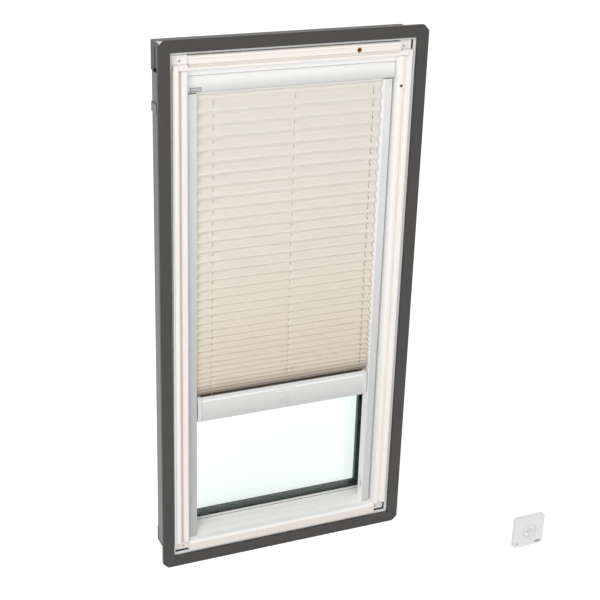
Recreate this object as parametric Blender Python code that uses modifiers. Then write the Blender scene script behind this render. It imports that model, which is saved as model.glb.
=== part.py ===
"""Roof window with a motorised pleated blind in its reveal, and the blind's wall keypad.

X runs to the right as seen from the room, Y out through the roof, Z up along the window.
The origin is the middle of the bottom deck flange's room-side face.
"""
import math

import bmesh
import bpy
from mathutils import Matrix, Vector

MM = 0.001

# Fits
SEAT = 0.3 * MM
RUNNING = 1.2 * MM

# Deck flange, folded from sheet
OVERALL_WIDTH = 600 * MM
OVERALL_HEIGHT = 1225 * MM
FLANGE_WIDTH = 26 * MM
FLANGE_DEPTH = 8 * MM
FLANGE_SHEET = 1.2 * MM
FLANGE_CHAMFER = 12 * MM

# Pine frame
PINE_GAP = 7.5 * MM
PINE_DEPTH = 70 * MM
STILE_FACE = 30 * MM
HEAD_FACE = 30 * MM
SILL_FACE = 24 * MM
LIP_WIDTH = 10 * MM
GROOVE_WIDTH = 10 * MM
GROOVE_DEPTH = 7 * MM
HEAD_LIP = 6.5 * MM
HEAD_STEP = 0.8 * MM
HEAD_GROOVE_DROP = 17.5 * MM
HEAD_GROOVE_WIDTH = 6.5 * MM
CORNER_RECESS = 15 * MM
CORNER_DROP = 19 * MM
CORNER_RISE = 25 * MM
PINE_ROUND = 5 * MM
PINE_EASE = 1.5 * MM
SILL_FLAT = 18.5 * MM
SILL_RISE = 12 * MM
HEAD_CABLE_HOLE = 5.5 * MM
HEAD_CABLE_INSET = 127.5 * MM
STILE_CABLE_HOLE = 3.5 * MM
STILE_CABLE_DROP = 95 * MM
CABLE_HOLE_DEPTH = 30 * MM
HEAD_SCREW_INSET = 16.5 * MM
HEAD_SCREW_DROP = 12.8 * MM
FOOT_SCREW_INSET = 20.5 * MM
FOOT_SCREW_RISE = 8 * MM

# Glass unit and the rubber that beds it
GASKET = 2 * MM
ROOM_PANE = 6 * MM
CAVITY = 12 * MM
WEATHER_PANE = 4 * MM
PANE_COVER = 4.5 * MM
SPACER_WIDTH = 14 * MM
SPACER_SIDE = 19.5 * MM

# Weather covers
COVER_INSET = 18 * MM
COVER_SHEET = 1.2 * MM
COVER_LIP = 36 * MM
COVER_TURN = 1.6 * MM
TOP_COVER_HANG = 63 * MM
TOP_COVER_FRONT = 38 * MM
CHEEK_SLANT = 11 * MM
CHEEK_SHOULDER = 11 * MM
CHEEK_FRONT = 74 * MM
CHEEK_GAP = 13 * MM
SEAL_THICK = 3 * MM
SEAL_GAP = 2 * MM
CLIP_DROP = 128 * MM
CLIP_HEIGHT = 20 * MM
CLIP_REACH = 34 * MM
CLIP_SHEET = 2 * MM

# Blind headrail
HEADRAIL_CLEAR = 6 * MM
HEADRAIL_HEIGHT = 38.5 * MM
HEADRAIL_DEPTH = 44 * MM
HEADRAIL_WALL = 1.6 * MM
HEADRAIL_BOW = 55 * MM
HEADRAIL_ROUND = 3 * MM
HEADRAIL_CHIN = 6 * MM
FIXING_WALL = 1.5 * MM
HEADRAIL_DROP = 15 * MM
END_CAP = 2.2 * MM
CLIP_BLOCK = 25 * MM
SOLAR_LENGTH = 380 * MM
SOLAR_HEIGHT = 24 * MM
SOLAR_THICK = 2 * MM
CORD_SETBACK = 15 * MM
CORD_INSET = 27.5 * MM
CORD_OFFSET = 10.5 * MM
PLUG_REACH = 9 * MM
CORD_RADIUS = 0.8 * MM
CORD_HOLE = 2.2 * MM

# Drive inside the headrail
SHAFT_RADIUS = 3 * MM
SHAFT_INSET = 21 * MM
SHAFT_RISE = 19 * MM
SPOOL_RADIUS = 7 * MM
SPOOL_FLANGE = 10 * MM
SPOOL_LENGTH = 24 * MM
SPOOL_RIM = 1.5 * MM
CRADLE_WALL = 2 * MM
CRADLE_DEPTH = 24 * MM
GEARBOX_LENGTH = 30 * MM
GEARBOX_START = 17 * MM
MOTOR_RADIUS = 8.5 * MM
MOTOR_LENGTH = 84 * MM
MOTOR_RISE = 23 * MM
BATTERY_LENGTH = 112 * MM
BATTERY_DEPTH = 13 * MM
BATTERY_HEIGHT = 27 * MM
BOARD_LENGTH = 104 * MM
BOARD_HEIGHT = 26 * MM
BOARD_THICK = 1.6 * MM

# Side rails
RAIL_WIDTH = 18.5 * MM
RAIL_DEPTH = 25.5 * MM
RAIL_WALL = 1.4 * MM
RAIL_GAP = 6.5 * MM
RAIL_LIP = 5 * MM
RAIL_FOOT = 1.8 * MM

# Bottom bar
BAR_BOTTOM = 353 * MM
BAR_HEIGHT = 61 * MM
BAR_DEPTH = 24 * MM
BAR_SHOULDER = 7 * MM
BAR_SLOPE = 9 * MM
BAR_WALL = 1.4 * MM
BAR_END_GAP = 3 * MM
BAR_CAP = 9 * MM
BAR_CAP_STEP = 0.6 * MM
BAR_LIP_HEIGHT = 11 * MM
GRIP_LENGTH = 44 * MM
GRIP_HEIGHT = 4 * MM
GRIP_REACH = 2.5 * MM
GUIDE_THICK = 2.6 * MM
GUIDE_HEIGHT = 30 * MM
GUIDE_FINGER = 5 * MM

# Pleated cloth
MEAN_PLEAT = 19.15 * MM
PLEAT_FLAT = 20 * MM
TOP_PLEAT = 27.5 * MM
PLEAT_FALLOFF = 1.6
CLOTH_THICK = 0.5 * MM
CLOTH_SIDE_GAP = 2 * MM
STRIP_HEIGHT = 3.4 * MM
STRIP_DEPTH = 12 * MM

# Wall keypad
KEYPAD_SIDE = 80 * MM
KEYPAD_OFFSET = 206 * MM
KEYPAD_FORWARD = 214 * MM
KEYPAD_ROUND = 5 * MM
KEYPAD_BASE = 6 * MM
KEYPAD_COVER = 6 * MM
KEYPAD_WALL = 1.6 * MM
DISC_RADIUS = 17 * MM
DISC_INNER = 5.8 * MM
DISC_SIDE = -0.5 * MM
DISC_RISE = 1.5 * MM
RIM_RADIUS = 20.5 * MM
RIM_HEIGHT = 1.2 * MM
BUTTON_THICK = 4 * MM
BUTTON_PROUD = 1 * MM
BUTTON_TRAVEL = 1 * MM
BUTTON_FIT = 0.6 * MM
BUTTON_GAP = 0.8 * MM
PEDESTAL = 2.5 * MM
LIGHT_RADIUS = 2.3 * MM
LIGHT_INSET = 8 * MM
LIGHT_RISE = 10 * MM

ROUND_STEPS = 16

# Places worked out from the sizes above
HALF_WIDTH = OVERALL_WIDTH / 2
PINE_EDGE = FLANGE_WIDTH + PINE_GAP
PINE_HALF = HALF_WIDTH - PINE_EDGE
PINE_BOTTOM = PINE_EDGE
PINE_TOP = OVERALL_HEIGHT - PINE_EDGE
OPENING_HALF = PINE_HALF - STILE_FACE
OPENING_BOTTOM = PINE_BOTTOM + SILL_FACE
OPENING_TOP = PINE_TOP - HEAD_FACE
PANE_FRONT = PINE_DEPTH + GASKET
PANE_HALF = PINE_HALF - PANE_COVER
PANE_BOTTOM = PINE_BOTTOM + PANE_COVER
PANE_TOP = PINE_TOP - PANE_COVER
SPACER_FRONT = PANE_FRONT + ROOM_PANE + SEAT
SPACER_BACK = PANE_FRONT + ROOM_PANE + CAVITY - SEAT
SPACER_HALF = OPENING_HALF - SPACER_SIDE
SPACER_BOTTOM = OPENING_BOTTOM + SPACER_SIDE * 1.5
SPACER_TOP = OPENING_TOP - SPACER_SIDE * 1.2
GLASS_BACK = PANE_FRONT + ROOM_PANE + CAVITY + WEATHER_PANE
COVER_HALF = HALF_WIDTH - COVER_INSET
COVER_BOTTOM = COVER_INSET
COVER_TOP = OVERALL_HEIGHT - COVER_INSET
COVER_BACK = GLASS_BACK + GASKET + COVER_SHEET
RAIL_OUTER = OPENING_HALF - RAIL_GAP
RAIL_INNER = RAIL_OUTER - RAIL_WIDTH
HEADRAIL_SETBACK = PINE_DEPTH - HEADRAIL_CLEAR - HEADRAIL_DEPTH
RAIL_BACK = HEADRAIL_SETBACK + RAIL_DEPTH
HEADRAIL_TOP = OPENING_TOP - HEADRAIL_DROP
HEADRAIL_BOTTOM = HEADRAIL_TOP - HEADRAIL_HEIGHT
HEADRAIL_BACK = HEADRAIL_SETBACK + HEADRAIL_DEPTH
HEADRAIL_HALF = OPENING_HALF - SEAT
HEADRAIL_BULGE = HEADRAIL_BOW - math.sqrt(HEADRAIL_BOW ** 2 - (HEADRAIL_HEIGHT / 2) ** 2)
SHAFT_HALF = HEADRAIL_HALF - END_CAP - SHAFT_INSET
CORD_DEPTH = HEADRAIL_SETBACK + CORD_SETBACK
SHAFT_DEPTH = CORD_DEPTH + SPOOL_RADIUS + CORD_RADIUS
SHAFT_HEIGHT = HEADRAIL_BOTTOM + SHAFT_RISE
BAR_TOP = BAR_BOTTOM + BAR_HEIGHT
BAR_HALF = RAIL_INNER - BAR_END_GAP
CLOTH_TOP = HEADRAIL_BOTTOM - 2 * SEAT - STRIP_HEIGHT
CLOTH_BOTTOM = BAR_TOP + SEAT + CLOTH_THICK
CLOTH_HALF = RAIL_INNER - CLOTH_SIDE_GAP
CLOTH_HEIGHT = CLOTH_TOP - CLOTH_BOTTOM
PLEATS = max(round(CLOTH_HEIGHT / MEAN_PLEAT), 1)
CORD_SPACING = CLOTH_HALF - CORD_INSET
CORD_PLACES = {
    "left": CORD_OFFSET - CORD_SPACING,
    "middle": CORD_OFFSET,
    "right": CORD_OFFSET + CORD_SPACING,
}
KEYPAD_X = HALF_WIDTH + KEYPAD_OFFSET + KEYPAD_SIDE / 2
KEYPAD_MID = KEYPAD_SIDE / 2

# Local X, Y, Z of a drawn outline, turned so that its thickness runs along the named world axis
TURN = {
    "x": Matrix(((0, 0, 1, 0), (1, 0, 0, 0), (0, 1, 0, 0), (0, 0, 0, 1))),
    "y": Matrix(((1, 0, 0, 0), (0, 0, -1, 0), (0, 1, 0, 0), (0, 0, 0, 1))),
    "z": Matrix.Identity(4),
}


def clear_scene():
    for old in list(bpy.data.objects):
        bpy.data.objects.remove(old, do_unlink=True)


def new_collection(name):
    made = bpy.data.collections.new(name)
    bpy.context.scene.collection.children.link(made)
    return made


def new_material(name, color, roughness, metallic=0.0, clear=0.0):
    made = bpy.data.materials.new(name)
    made.use_nodes = True
    shader = made.node_tree.nodes["Principled BSDF"]
    shader.inputs["Base Color"].default_value = (*color, 1.0)
    shader.inputs["Roughness"].default_value = roughness
    shader.inputs["Metallic"].default_value = metallic
    shader.inputs["Transmission Weight"].default_value = clear
    return made


clear_scene()
PARTS = new_collection("roof_window_with_blind")
CUTTERS = new_collection("cutters")

PINE = new_material("white_pine", (0.86, 0.83, 0.79), 0.45)
DARK_SHEET = new_material("dark_sheet", (0.075, 0.07, 0.068), 0.5, 0.4)
GREY_SHEET = new_material("grey_sheet", (0.23, 0.235, 0.25), 0.45, 0.6)
CLEAR = new_material("clear_glass", (0.9, 0.98, 0.97), 0.02, 0.0, 0.9)
SPACER_METAL = new_material("spacer", (0.05, 0.065, 0.06), 0.35, 0.5)
BLACK_RUBBER = new_material("black_rubber", (0.02, 0.02, 0.02), 0.8)
PALE_SEAL = new_material("pale_seal", (0.65, 0.75, 0.73), 0.4)
FOAM = new_material("black_foam", (0.03, 0.03, 0.03), 0.95)
STEEL = new_material("zinc_steel", (0.55, 0.55, 0.56), 0.35, 0.9)
WHITE_METAL = new_material("white_aluminium", (0.8, 0.8, 0.8), 0.4, 0.1)
WHITE_PLASTIC = new_material("white_plastic", (0.78, 0.78, 0.77), 0.4)
GREY_PLASTIC = new_material("grey_plastic", (0.35, 0.35, 0.36), 0.5)
CLOTH = new_material("cream_cloth", (0.76, 0.72, 0.64), 0.9)
CORD = new_material("cord", (0.8, 0.78, 0.73), 0.8)
BOARD = new_material("circuit_board", (0.05, 0.25, 0.12), 0.5)
SOLAR = new_material("solar_cells", (0.02, 0.025, 0.07), 0.2)


def seat_on_window(piece):
    """The window is drawn from its bottom edge up, and its origin is half a flange higher."""
    piece.matrix_world = Matrix.Translation((0, 0, -FLANGE_WIDTH / 2)) @ piece.matrix_world


def add(name, mesh, finish, matrix=None, smooth=None):
    mesh.materials.clear()
    mesh.materials.append(finish)
    if smooth is not None:
        mesh.shade_smooth()
        mesh.set_sharp_from_angle(angle=math.radians(smooth))
    piece = bpy.data.objects.new(name, mesh)
    if matrix is not None:
        piece.matrix_world = matrix
    PARTS.objects.link(piece)
    seat_on_window(piece)
    return piece


def box_mesh(name, low, high):
    mesh = bpy.data.meshes.new(name)
    shape = bmesh.new()
    bmesh.ops.create_cube(shape, size=1.0)
    size = Vector(high) - Vector(low)
    bmesh.ops.scale(shape, vec=size, verts=shape.verts)
    shape.to_mesh(mesh)
    shape.free()
    return mesh


def box(name, finish, low, high):
    middle = (Vector(low) + Vector(high)) / 2
    return add(name, box_mesh(name, low, high), finish, Matrix.Translation(middle))


def filleted(corners, steps=3):
    """A closed outline from (u, v) corners, where (u, v, radius) is a rounded one."""
    points = []
    count = len(corners)
    for index, corner in enumerate(corners):
        here = Vector(corner[:2])
        radius = corner[2] if len(corner) > 2 else 0.0
        if radius <= 0.0:
            points.append(here)
            continue
        before = (Vector(corners[index - 1][:2]) - here).normalized()
        after = (Vector(corners[(index + 1) % count][:2]) - here).normalized()
        half = math.acos(max(-1.0, min(1.0, before.dot(after)))) / 2
        middle = here + (before + after).normalized() * radius / math.sin(half)
        start = here + before * radius / math.tan(half) - middle
        end = here + after * radius / math.tan(half) - middle
        turn = math.atan2(start.x * end.y - start.y * end.x, start.dot(end))
        for step in range(steps + 1):
            angle = turn * step / steps
            points.append(middle + Matrix.Rotation(angle, 2) @ start)
    return points


def ring(center, radius, steps=ROUND_STEPS):
    points = []
    for step in range(steps):
        angle = 2 * math.pi * (step + 0.5) / steps
        points.append(Vector(center) + radius * Vector((math.cos(angle), math.sin(angle))))
    return points


def rectangle(left, low, right, high):
    return [Vector((left, low)), Vector((right, low)), Vector((right, high)), Vector((left, high))]


def sheet_mesh(name, outlines, thickness):
    """A flat outline, with any holes as further outlines, filled and given its thickness."""
    curve = bpy.data.curves.new(name, "CURVE")
    curve.dimensions = "2D"
    curve.fill_mode = "BOTH"
    curve.extrude = thickness / 2
    for outline in outlines:
        spline = curve.splines.new("POLY")
        spline.points.add(len(outline) - 1)
        for point, place in zip(spline.points, outline):
            point.co = (place.x, place.y, 0.0, 1.0)
        spline.use_cyclic_u = True
    guide = bpy.data.objects.new(name, curve)
    CUTTERS.objects.link(guide)
    bpy.context.view_layer.update()
    evaluated = guide.evaluated_get(bpy.context.evaluated_depsgraph_get())
    mesh = bpy.data.meshes.new_from_object(evaluated)
    bpy.data.objects.remove(guide)
    bpy.data.curves.remove(curve)
    shape = bmesh.new()
    shape.from_mesh(mesh)
    bmesh.ops.remove_doubles(shape, verts=shape.verts, dist=0.01 * MM)
    bmesh.ops.recalc_face_normals(shape, faces=shape.faces)
    shape.to_mesh(mesh)
    shape.free()
    return mesh


def extrusion_matrix(axis, low, high):
    shift = {"x": (1, 0, 0), "y": (0, 1, 0), "z": (0, 0, 1)}[axis]
    return Matrix.Translation(Vector(shift) * (low + high) / 2) @ TURN[axis]


def extrusion(name, finish, outlines, axis, low, high, smooth=None):
    """Outlines are drawn in YZ for axis x, XZ for axis y and XY for axis z."""
    mesh = sheet_mesh(name, outlines, high - low)
    return add(name, mesh, finish, extrusion_matrix(axis, low, high), smooth)


def turned_mesh(name, profile, steps=ROUND_STEPS):
    """A profile of (radius, height) points, top to bottom on its outer side, turned round Z."""
    mesh = bpy.data.meshes.new(name)
    points = [(radius, 0.0, height) for radius, height in profile]
    closed = profile[0][0] > 0 and profile[-1][0] > 0
    edges = [(i, i + 1) for i in range(len(points) - 1)]
    if closed:
        edges.append((len(points) - 1, 0))
    mesh.from_pydata(points, edges, [])
    guide = bpy.data.objects.new(name, mesh)
    CUTTERS.objects.link(guide)
    screw = guide.modifiers.new("turn", "SCREW")
    screw.steps = steps
    screw.render_steps = steps
    screw.use_merge_vertices = True
    screw.merge_threshold = 0.00001
    screw.use_normal_calculate = True
    bpy.context.view_layer.update()
    evaluated = guide.evaluated_get(bpy.context.evaluated_depsgraph_get())
    turned = bpy.data.meshes.new_from_object(evaluated)
    bpy.data.objects.remove(guide)
    shape = bmesh.new()
    shape.from_mesh(turned)
    bmesh.ops.recalc_face_normals(shape, faces=shape.faces)
    shape.to_mesh(turned)
    shape.free()
    return turned


def copies(name, finish, mesh, matrices, smooth=40):
    """The same shape at several places in one object, for a set of drillings."""
    together = bmesh.new()
    for matrix in matrices:
        one = bmesh.new()
        one.from_mesh(mesh)
        bmesh.ops.transform(one, matrix=matrix, verts=one.verts)
        single = bpy.data.meshes.new(name)
        one.to_mesh(single)
        one.free()
        together.from_mesh(single)
        bpy.data.meshes.remove(single)
    joined = bpy.data.meshes.new(name)
    together.to_mesh(joined)
    together.free()
    return add(name, joined, finish, None, smooth)


def make_cutter(piece):
    PARTS.objects.unlink(piece)
    CUTTERS.objects.link(piece)
    piece.hide_render = True
    piece.display_type = "WIRE"
    return piece


def combine(piece, tool, operation):
    modifier = piece.modifiers.new(tool.name, "BOOLEAN")
    modifier.operation = operation
    modifier.solver = "EXACT"
    modifier.object = make_cutter(tool)


def cut(piece, *tools):
    for tool in tools:
        combine(piece, tool, "DIFFERENCE")


def weld_on(piece, *tools):
    for tool in tools:
        combine(piece, tool, "UNION")


def mirrored(points, side):
    return [Vector((point.x * side, point.y)) for point in points]


SIDES = {"left": -1, "right": 1}


def along_y(x, y, z, tip=1):
    """A turned mesh whose top faces the room, its axis along Y."""
    turn = Matrix.Rotation(math.radians(90 * tip), 4, "X")
    return Matrix.Translation((x, y, z)) @ turn


def along_x(x, y, z):
    return Matrix.Translation((x, y, z)) @ Matrix.Rotation(math.radians(90), 4, "Y")


def screw_profile(head_radius, shank_radius, length):
    head = head_radius - shank_radius
    return [(0, 0), (head_radius, 0), (shank_radius, -head), (shank_radius, -length), (0, -length)]


# Pine frame: two stiles, a head rail that laps over them, and a sill that butts between them
CORNER_SCREW = (3.0 * MM, 1.8 * MM, 38 * MM)


def pine_section(edge, width):
    """A grooved face with rounded arrises, drawn from the outer edge inwards."""
    lip = edge - LIP_WIDTH
    land = lip - GROOVE_WIDTH
    return filleted([
        (edge, PINE_DEPTH),
        (edge, 0, PINE_ROUND),
        (lip, 0, PINE_EASE),
        (lip, GROOVE_DEPTH),
        (land, GROOVE_DEPTH),
        (land, 0, PINE_EASE),
        (edge - width, 0, PINE_ROUND),
        (edge - width, PINE_DEPTH),
    ])


HEAD_SCREW = (PINE_HALF - HEAD_SCREW_INSET, PINE_TOP - HEAD_SCREW_DROP)
FOOT_SCREW = (PINE_HALF - FOOT_SCREW_INSET, PINE_BOTTOM + FOOT_SCREW_RISE)


def screw_holes(name, places):
    """Drillings for the countersunk screws that hold the frame's corners."""
    mesh = turned_mesh(name, screw_profile(*CORNER_SCREW), 12)
    return copies(name, PINE, mesh, [along_y(x, CORNER_RECESS - SEAT, z) for x, z in places])


def corner_step(name, side, inner, low, high):
    """Planes the face back at a corner, where the screw that holds the joint is sunk."""
    ends = sorted((side * inner, side * (PINE_HALF + LIP_WIDTH)))
    return box(name, PINE, (ends[0], -LIP_WIDTH, low), (ends[1], CORNER_RECESS, high))


def pine_stile(side_name):
    side = SIDES[side_name]
    lap = PINE_TOP - HEAD_FACE
    outline = mirrored(pine_section(PINE_HALF, STILE_FACE), side)
    stile = extrusion(f"pine_stile_{side_name}", PINE, [outline], "z", PINE_BOTTOM, PINE_TOP, 30)
    inner = PINE_HALF - LIP_WIDTH
    wide = sorted((side * (OPENING_HALF - LIP_WIDTH), side * (inner + SEAT)))
    cut(stile, box(f"lap_{side_name}", PINE, (wide[0], -LIP_WIDTH, lap - SEAT),
                   (wide[1], PINE_DEPTH + LIP_WIDTH, PINE_TOP + LIP_WIDTH)))
    cut(stile, corner_step(f"head_step_{side_name}", side, inner - SEAT,
                           PINE_TOP - CORNER_DROP, PINE_TOP + LIP_WIDTH))
    cut(stile, corner_step(f"foot_step_{side_name}", side, OPENING_HALF - LIP_WIDTH,
                           0, PINE_BOTTOM + CORNER_RISE))
    place = (side * FOOT_SCREW[0], FOOT_SCREW[1])
    cut(stile, screw_holes(f"stile_screw_hole_{side_name}", [place]))
    if side_name == "right":
        center = (side * (OPENING_HALF + (STILE_FACE - LIP_WIDTH - GROOVE_WIDTH) / 2),
                  PINE_TOP - STILE_CABLE_DROP)
        hole = [ring(center, STILE_CABLE_HOLE, 12)]
        cut(stile, extrusion("stile_cable_hole", PINE, hole, "y", -LIP_WIDTH, CABLE_HOLE_DEPTH))
    return stile


def pine_head():
    groove_top = PINE_TOP - HEAD_GROOVE_DROP
    groove_low = groove_top - HEAD_GROOVE_WIDTH
    outline = filleted([
        (PINE_DEPTH, PINE_TOP),
        (0, PINE_TOP, PINE_ROUND),
        (0, PINE_TOP - HEAD_LIP, HEAD_STEP / 2),
        (HEAD_STEP, PINE_TOP - HEAD_LIP),
        (HEAD_STEP, groove_top, HEAD_STEP),
        (GROOVE_DEPTH, groove_top),
        (GROOVE_DEPTH, groove_low),
        (0, groove_low, HEAD_STEP),
        (0, PINE_TOP - HEAD_FACE, PINE_EASE),
        (PINE_DEPTH, PINE_TOP - HEAD_FACE),
    ])
    half = PINE_HALF - LIP_WIDTH
    head = extrusion("pine_head", PINE, [outline], "x", -half, half, 30)
    for side_name, side in SIDES.items():
        ends = sorted((side * OPENING_HALF, side * half))
        weld_on(head, box(f"head_block_{side_name}", PINE,
                          (ends[0], SEAT, groove_low - HEAD_STEP),
                          (ends[1], GROOVE_DEPTH + SEAT, PINE_TOP - PINE_ROUND)))
        cut(head, corner_step(f"lap_step_{side_name}", side, OPENING_HALF,
                              PINE_TOP - CORNER_DROP, PINE_TOP + LIP_WIDTH))
    places = [(side * HEAD_SCREW[0], HEAD_SCREW[1]) for side in SIDES.values()]
    cut(head, screw_holes("head_screw_hole", places))
    center = (PINE_HALF - HEAD_CABLE_INSET, (PINE_TOP - HEAD_LIP + groove_top) / 2)
    hole = [ring(center, HEAD_CABLE_HOLE, 12)]
    cut(head, extrusion("head_cable_hole", PINE, hole, "y", -LIP_WIDTH, CABLE_HOLE_DEPTH))
    cut(head, angle_screw_holes("head_angle_hole"))
    return head


def pine_sill():
    """The sill's top runs level under the blind and then rises to the glass."""
    top = OPENING_BOTTOM
    outline = filleted([
        (0, PINE_BOTTOM, PINE_EASE),
        (0, top - PINE_ROUND, PINE_EASE),
        (PINE_ROUND, top, PINE_EASE),
        (SILL_FLAT, top),
        (PINE_DEPTH, top + SILL_RISE),
        (PINE_DEPTH, PINE_BOTTOM),
    ])
    half = OPENING_HALF - SEAT
    return extrusion("pine_sill", PINE, [outline], "x", -half, half, 30)


# Deck flange: folded channels that wrap round the frame's room side, lapped like a pinwheel
def flange_section(inner, outer):
    sheet = FLANGE_SHEET
    return [
        Vector((inner, 0)), Vector((outer, 0)),
        Vector((outer, FLANGE_DEPTH)), Vector((outer - sheet, FLANGE_DEPTH)),
        Vector((outer - sheet, sheet)), Vector((inner + sheet, sheet)),
        Vector((inner + sheet, FLANGE_DEPTH)), Vector((inner, FLANGE_DEPTH)),
    ]


def chamfer_tool(name, side, upper):
    corner_x = side * HALF_WIDTH
    corner_z = OVERALL_HEIGHT if upper else 0.0
    rise = -FLANGE_CHAMFER if upper else FLANGE_CHAMFER
    over = FLANGE_CHAMFER / 2
    outline = [
        Vector((corner_x - side * (FLANGE_CHAMFER + over), corner_z - math.copysign(over, rise))),
        Vector((corner_x + side * over, corner_z - math.copysign(over, rise))),
        Vector((corner_x + side * over, corner_z + rise + math.copysign(over, rise))),
    ]
    return extrusion(name, DARK_SHEET, [outline], "y", -over, FLANGE_DEPTH + over)


def deck_flanges():
    inner = HALF_WIDTH - FLANGE_WIDTH
    section = flange_section(inner, HALF_WIDTH)
    left = extrusion("flange_left", DARK_SHEET, [mirrored(section, -1)], "z", 0, OVERALL_HEIGHT)
    right = extrusion("flange_right", DARK_SHEET, [section], "z",
                      0, OVERALL_HEIGHT - FLANGE_WIDTH - SEAT)
    top_section = flange_section(OVERALL_HEIGHT - FLANGE_WIDTH, OVERALL_HEIGHT)
    top = extrusion("flange_top", DARK_SHEET, [[Vector((p.y, p.x)) for p in top_section]], "x",
                    SEAT - inner, HALF_WIDTH)
    low_section = [Vector((p.y, FLANGE_WIDTH - p.x))
                   for p in flange_section(0.0, FLANGE_WIDTH)]
    bottom = extrusion("flange_bottom", DARK_SHEET, [low_section], "x",
                       SEAT - inner, inner - SEAT)
    cut(left, chamfer_tool("chamfer_top_left", -1, True),
        chamfer_tool("chamfer_bottom_left", -1, False))
    cut(top, chamfer_tool("chamfer_top_right", 1, True))
    cut(right, chamfer_tool("chamfer_bottom_right", 1, False))
    return left, right, top, bottom


# Seals and foam between the pine and the covers
def frame_ring(name, finish, half, low, high, hole_half, hole_low, hole_high, front, back):
    outside = rectangle(-half, low, half, high)
    hole = rectangle(-hole_half, hole_low, hole_half, hole_high)
    return extrusion(name, finish, [outside, hole], "y", front, back)


def gap_ring(name, finish, front, back):
    """Lines the covers and stops short of the pine."""
    half = COVER_HALF - COVER_SHEET - SEAT
    low = COVER_BOTTOM + COVER_SHEET + SEAT
    high = COVER_TOP - COVER_SHEET - SEAT
    return frame_ring(name, finish, half, low, high,
                      PINE_HALF + SEAL_GAP, PINE_BOTTOM - SEAL_GAP, PINE_TOP + SEAL_GAP,
                      front, back)


def seal_and_foam():
    front = FLANGE_DEPTH + SEAT
    back = front + SEAL_THICK
    gap_ring("gap_seal", PALE_SEAL, front, back)
    return gap_ring("foam_insulation", FOAM, back + SEAT, PINE_DEPTH)


# Glass unit: two panes round a hollow metal spacer, sealed at the edge
def glass_unit():
    back = PANE_FRONT + ROOM_PANE
    box("room_pane", CLEAR, (-PANE_HALF, PANE_FRONT, PANE_BOTTOM), (PANE_HALF, back, PANE_TOP))
    front = back + CAVITY
    box("weather_pane", CLEAR, (-PANE_HALF, front, PANE_BOTTOM), (PANE_HALF, GLASS_BACK, PANE_TOP))
    wide = SPACER_WIDTH
    frame_ring("glass_spacer", SPACER_METAL,
               SPACER_HALF + wide, SPACER_BOTTOM - wide, SPACER_TOP + wide,
               SPACER_HALF, SPACER_BOTTOM, SPACER_TOP, SPACER_FRONT, SPACER_BACK)
    frame_ring("edge_sealant", BLACK_RUBBER, PANE_HALF, PANE_BOTTOM, PANE_TOP,
               SPACER_HALF + wide + SEAT, SPACER_BOTTOM - wide - SEAT, SPACER_TOP + wide + SEAT,
               SPACER_FRONT, SPACER_BACK)
    frame_ring("glazing_gasket", BLACK_RUBBER, PANE_HALF, PANE_BOTTOM, PANE_TOP,
               OPENING_HALF + LIP_WIDTH / 2, OPENING_BOTTOM + SILL_RISE / 2,
               OPENING_TOP + LIP_WIDTH / 2,
               PINE_DEPTH + SEAT, PANE_FRONT - SEAT)


# Weather covers: folded sheet round the sides and back over the edge of the glass
def side_cover(side_name):
    side = SIDES[side_name]
    sheet = COVER_SHEET
    front = FLANGE_DEPTH + SEAT
    turn = COVER_HALF - COVER_LIP
    outline = [
        Vector((COVER_HALF, front)), Vector((COVER_HALF, COVER_BACK)),
        Vector((turn, COVER_BACK)), Vector((turn, COVER_BACK - sheet - COVER_TURN)),
        Vector((turn + sheet, COVER_BACK - sheet - COVER_TURN)),
        Vector((turn + sheet, COVER_BACK - sheet)),
        Vector((COVER_HALF - sheet, COVER_BACK - sheet)), Vector((COVER_HALF - sheet, front)),
    ]
    low = COVER_BOTTOM + sheet + SEAT
    high = COVER_TOP - sheet - SEAT
    cover = extrusion(f"side_cover_{side_name}", GREY_SHEET, [mirrored(outline, side)], "z",
                      low, high)
    tongue = cheek_outline()[2:4]
    near = FLANGE_DEPTH + CHEEK_GAP
    gap = [Vector((COVER_BACK - 3 * sheet, tongue[0].y)), tongue[1],
           Vector((near, tongue[1].y - CHEEK_GAP / 2)), Vector((near, tongue[1].y - CHEEK_GAP))]
    reach = sorted((side * (COVER_HALF - 3 * sheet), side * (COVER_HALF + sheet)))
    cut(cover, extrusion(f"cheek_gap_{side_name}", GREY_SHEET, [gap], "x", reach[0], reach[1]))
    return cover


def end_cover_section(edge, upward):
    """The same fold as the side covers, for the top and bottom of the window, in YZ."""
    sheet = COVER_SHEET
    front = FLANGE_DEPTH + SEAT
    inward = -1 if upward else 1
    turn = edge + inward * COVER_LIP
    back = COVER_BACK + sheet + SEAT
    points = [
        (front, edge), (back, edge), (back, turn),
        (back - sheet, turn), (back - sheet, edge + inward * sheet),
        (front, edge + inward * sheet),
    ]
    return [Vector(point) for point in points]


def cheek_outline():
    """The end of the top cover in YZ: a tongue that hangs down along its back."""
    edge = COVER_TOP
    back = COVER_BACK + COVER_SHEET + SEAT
    return [
        Vector((TOP_COVER_FRONT, edge)), Vector((back, edge)),
        Vector((back, edge - TOP_COVER_HANG)),
        Vector((CHEEK_FRONT, edge - TOP_COVER_HANG + CHEEK_SLANT)),
        Vector((CHEEK_FRONT, edge - CHEEK_SHOULDER)),
    ]


def cheek(name, side):
    """The top cover's end, folded round the corner over the side cover."""
    outside = COVER_HALF + COVER_SHEET + SEAT
    ends = sorted((side * (outside - COVER_SHEET), side * outside))
    return extrusion(name, DARK_SHEET, [cheek_outline()], "x", ends[0], ends[1])


def end_cover(name, upward):
    half = COVER_HALF + SEAT + COVER_SHEET / 2
    edge = COVER_TOP if upward else COVER_BOTTOM
    section = end_cover_section(edge, upward)
    cover = extrusion(name, DARK_SHEET, [section], "x", -half, half)
    if upward:
        for side_name, side in SIDES.items():
            weld_on(cover, cheek(f"cheek_{side_name}", side))
    return cover


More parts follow.
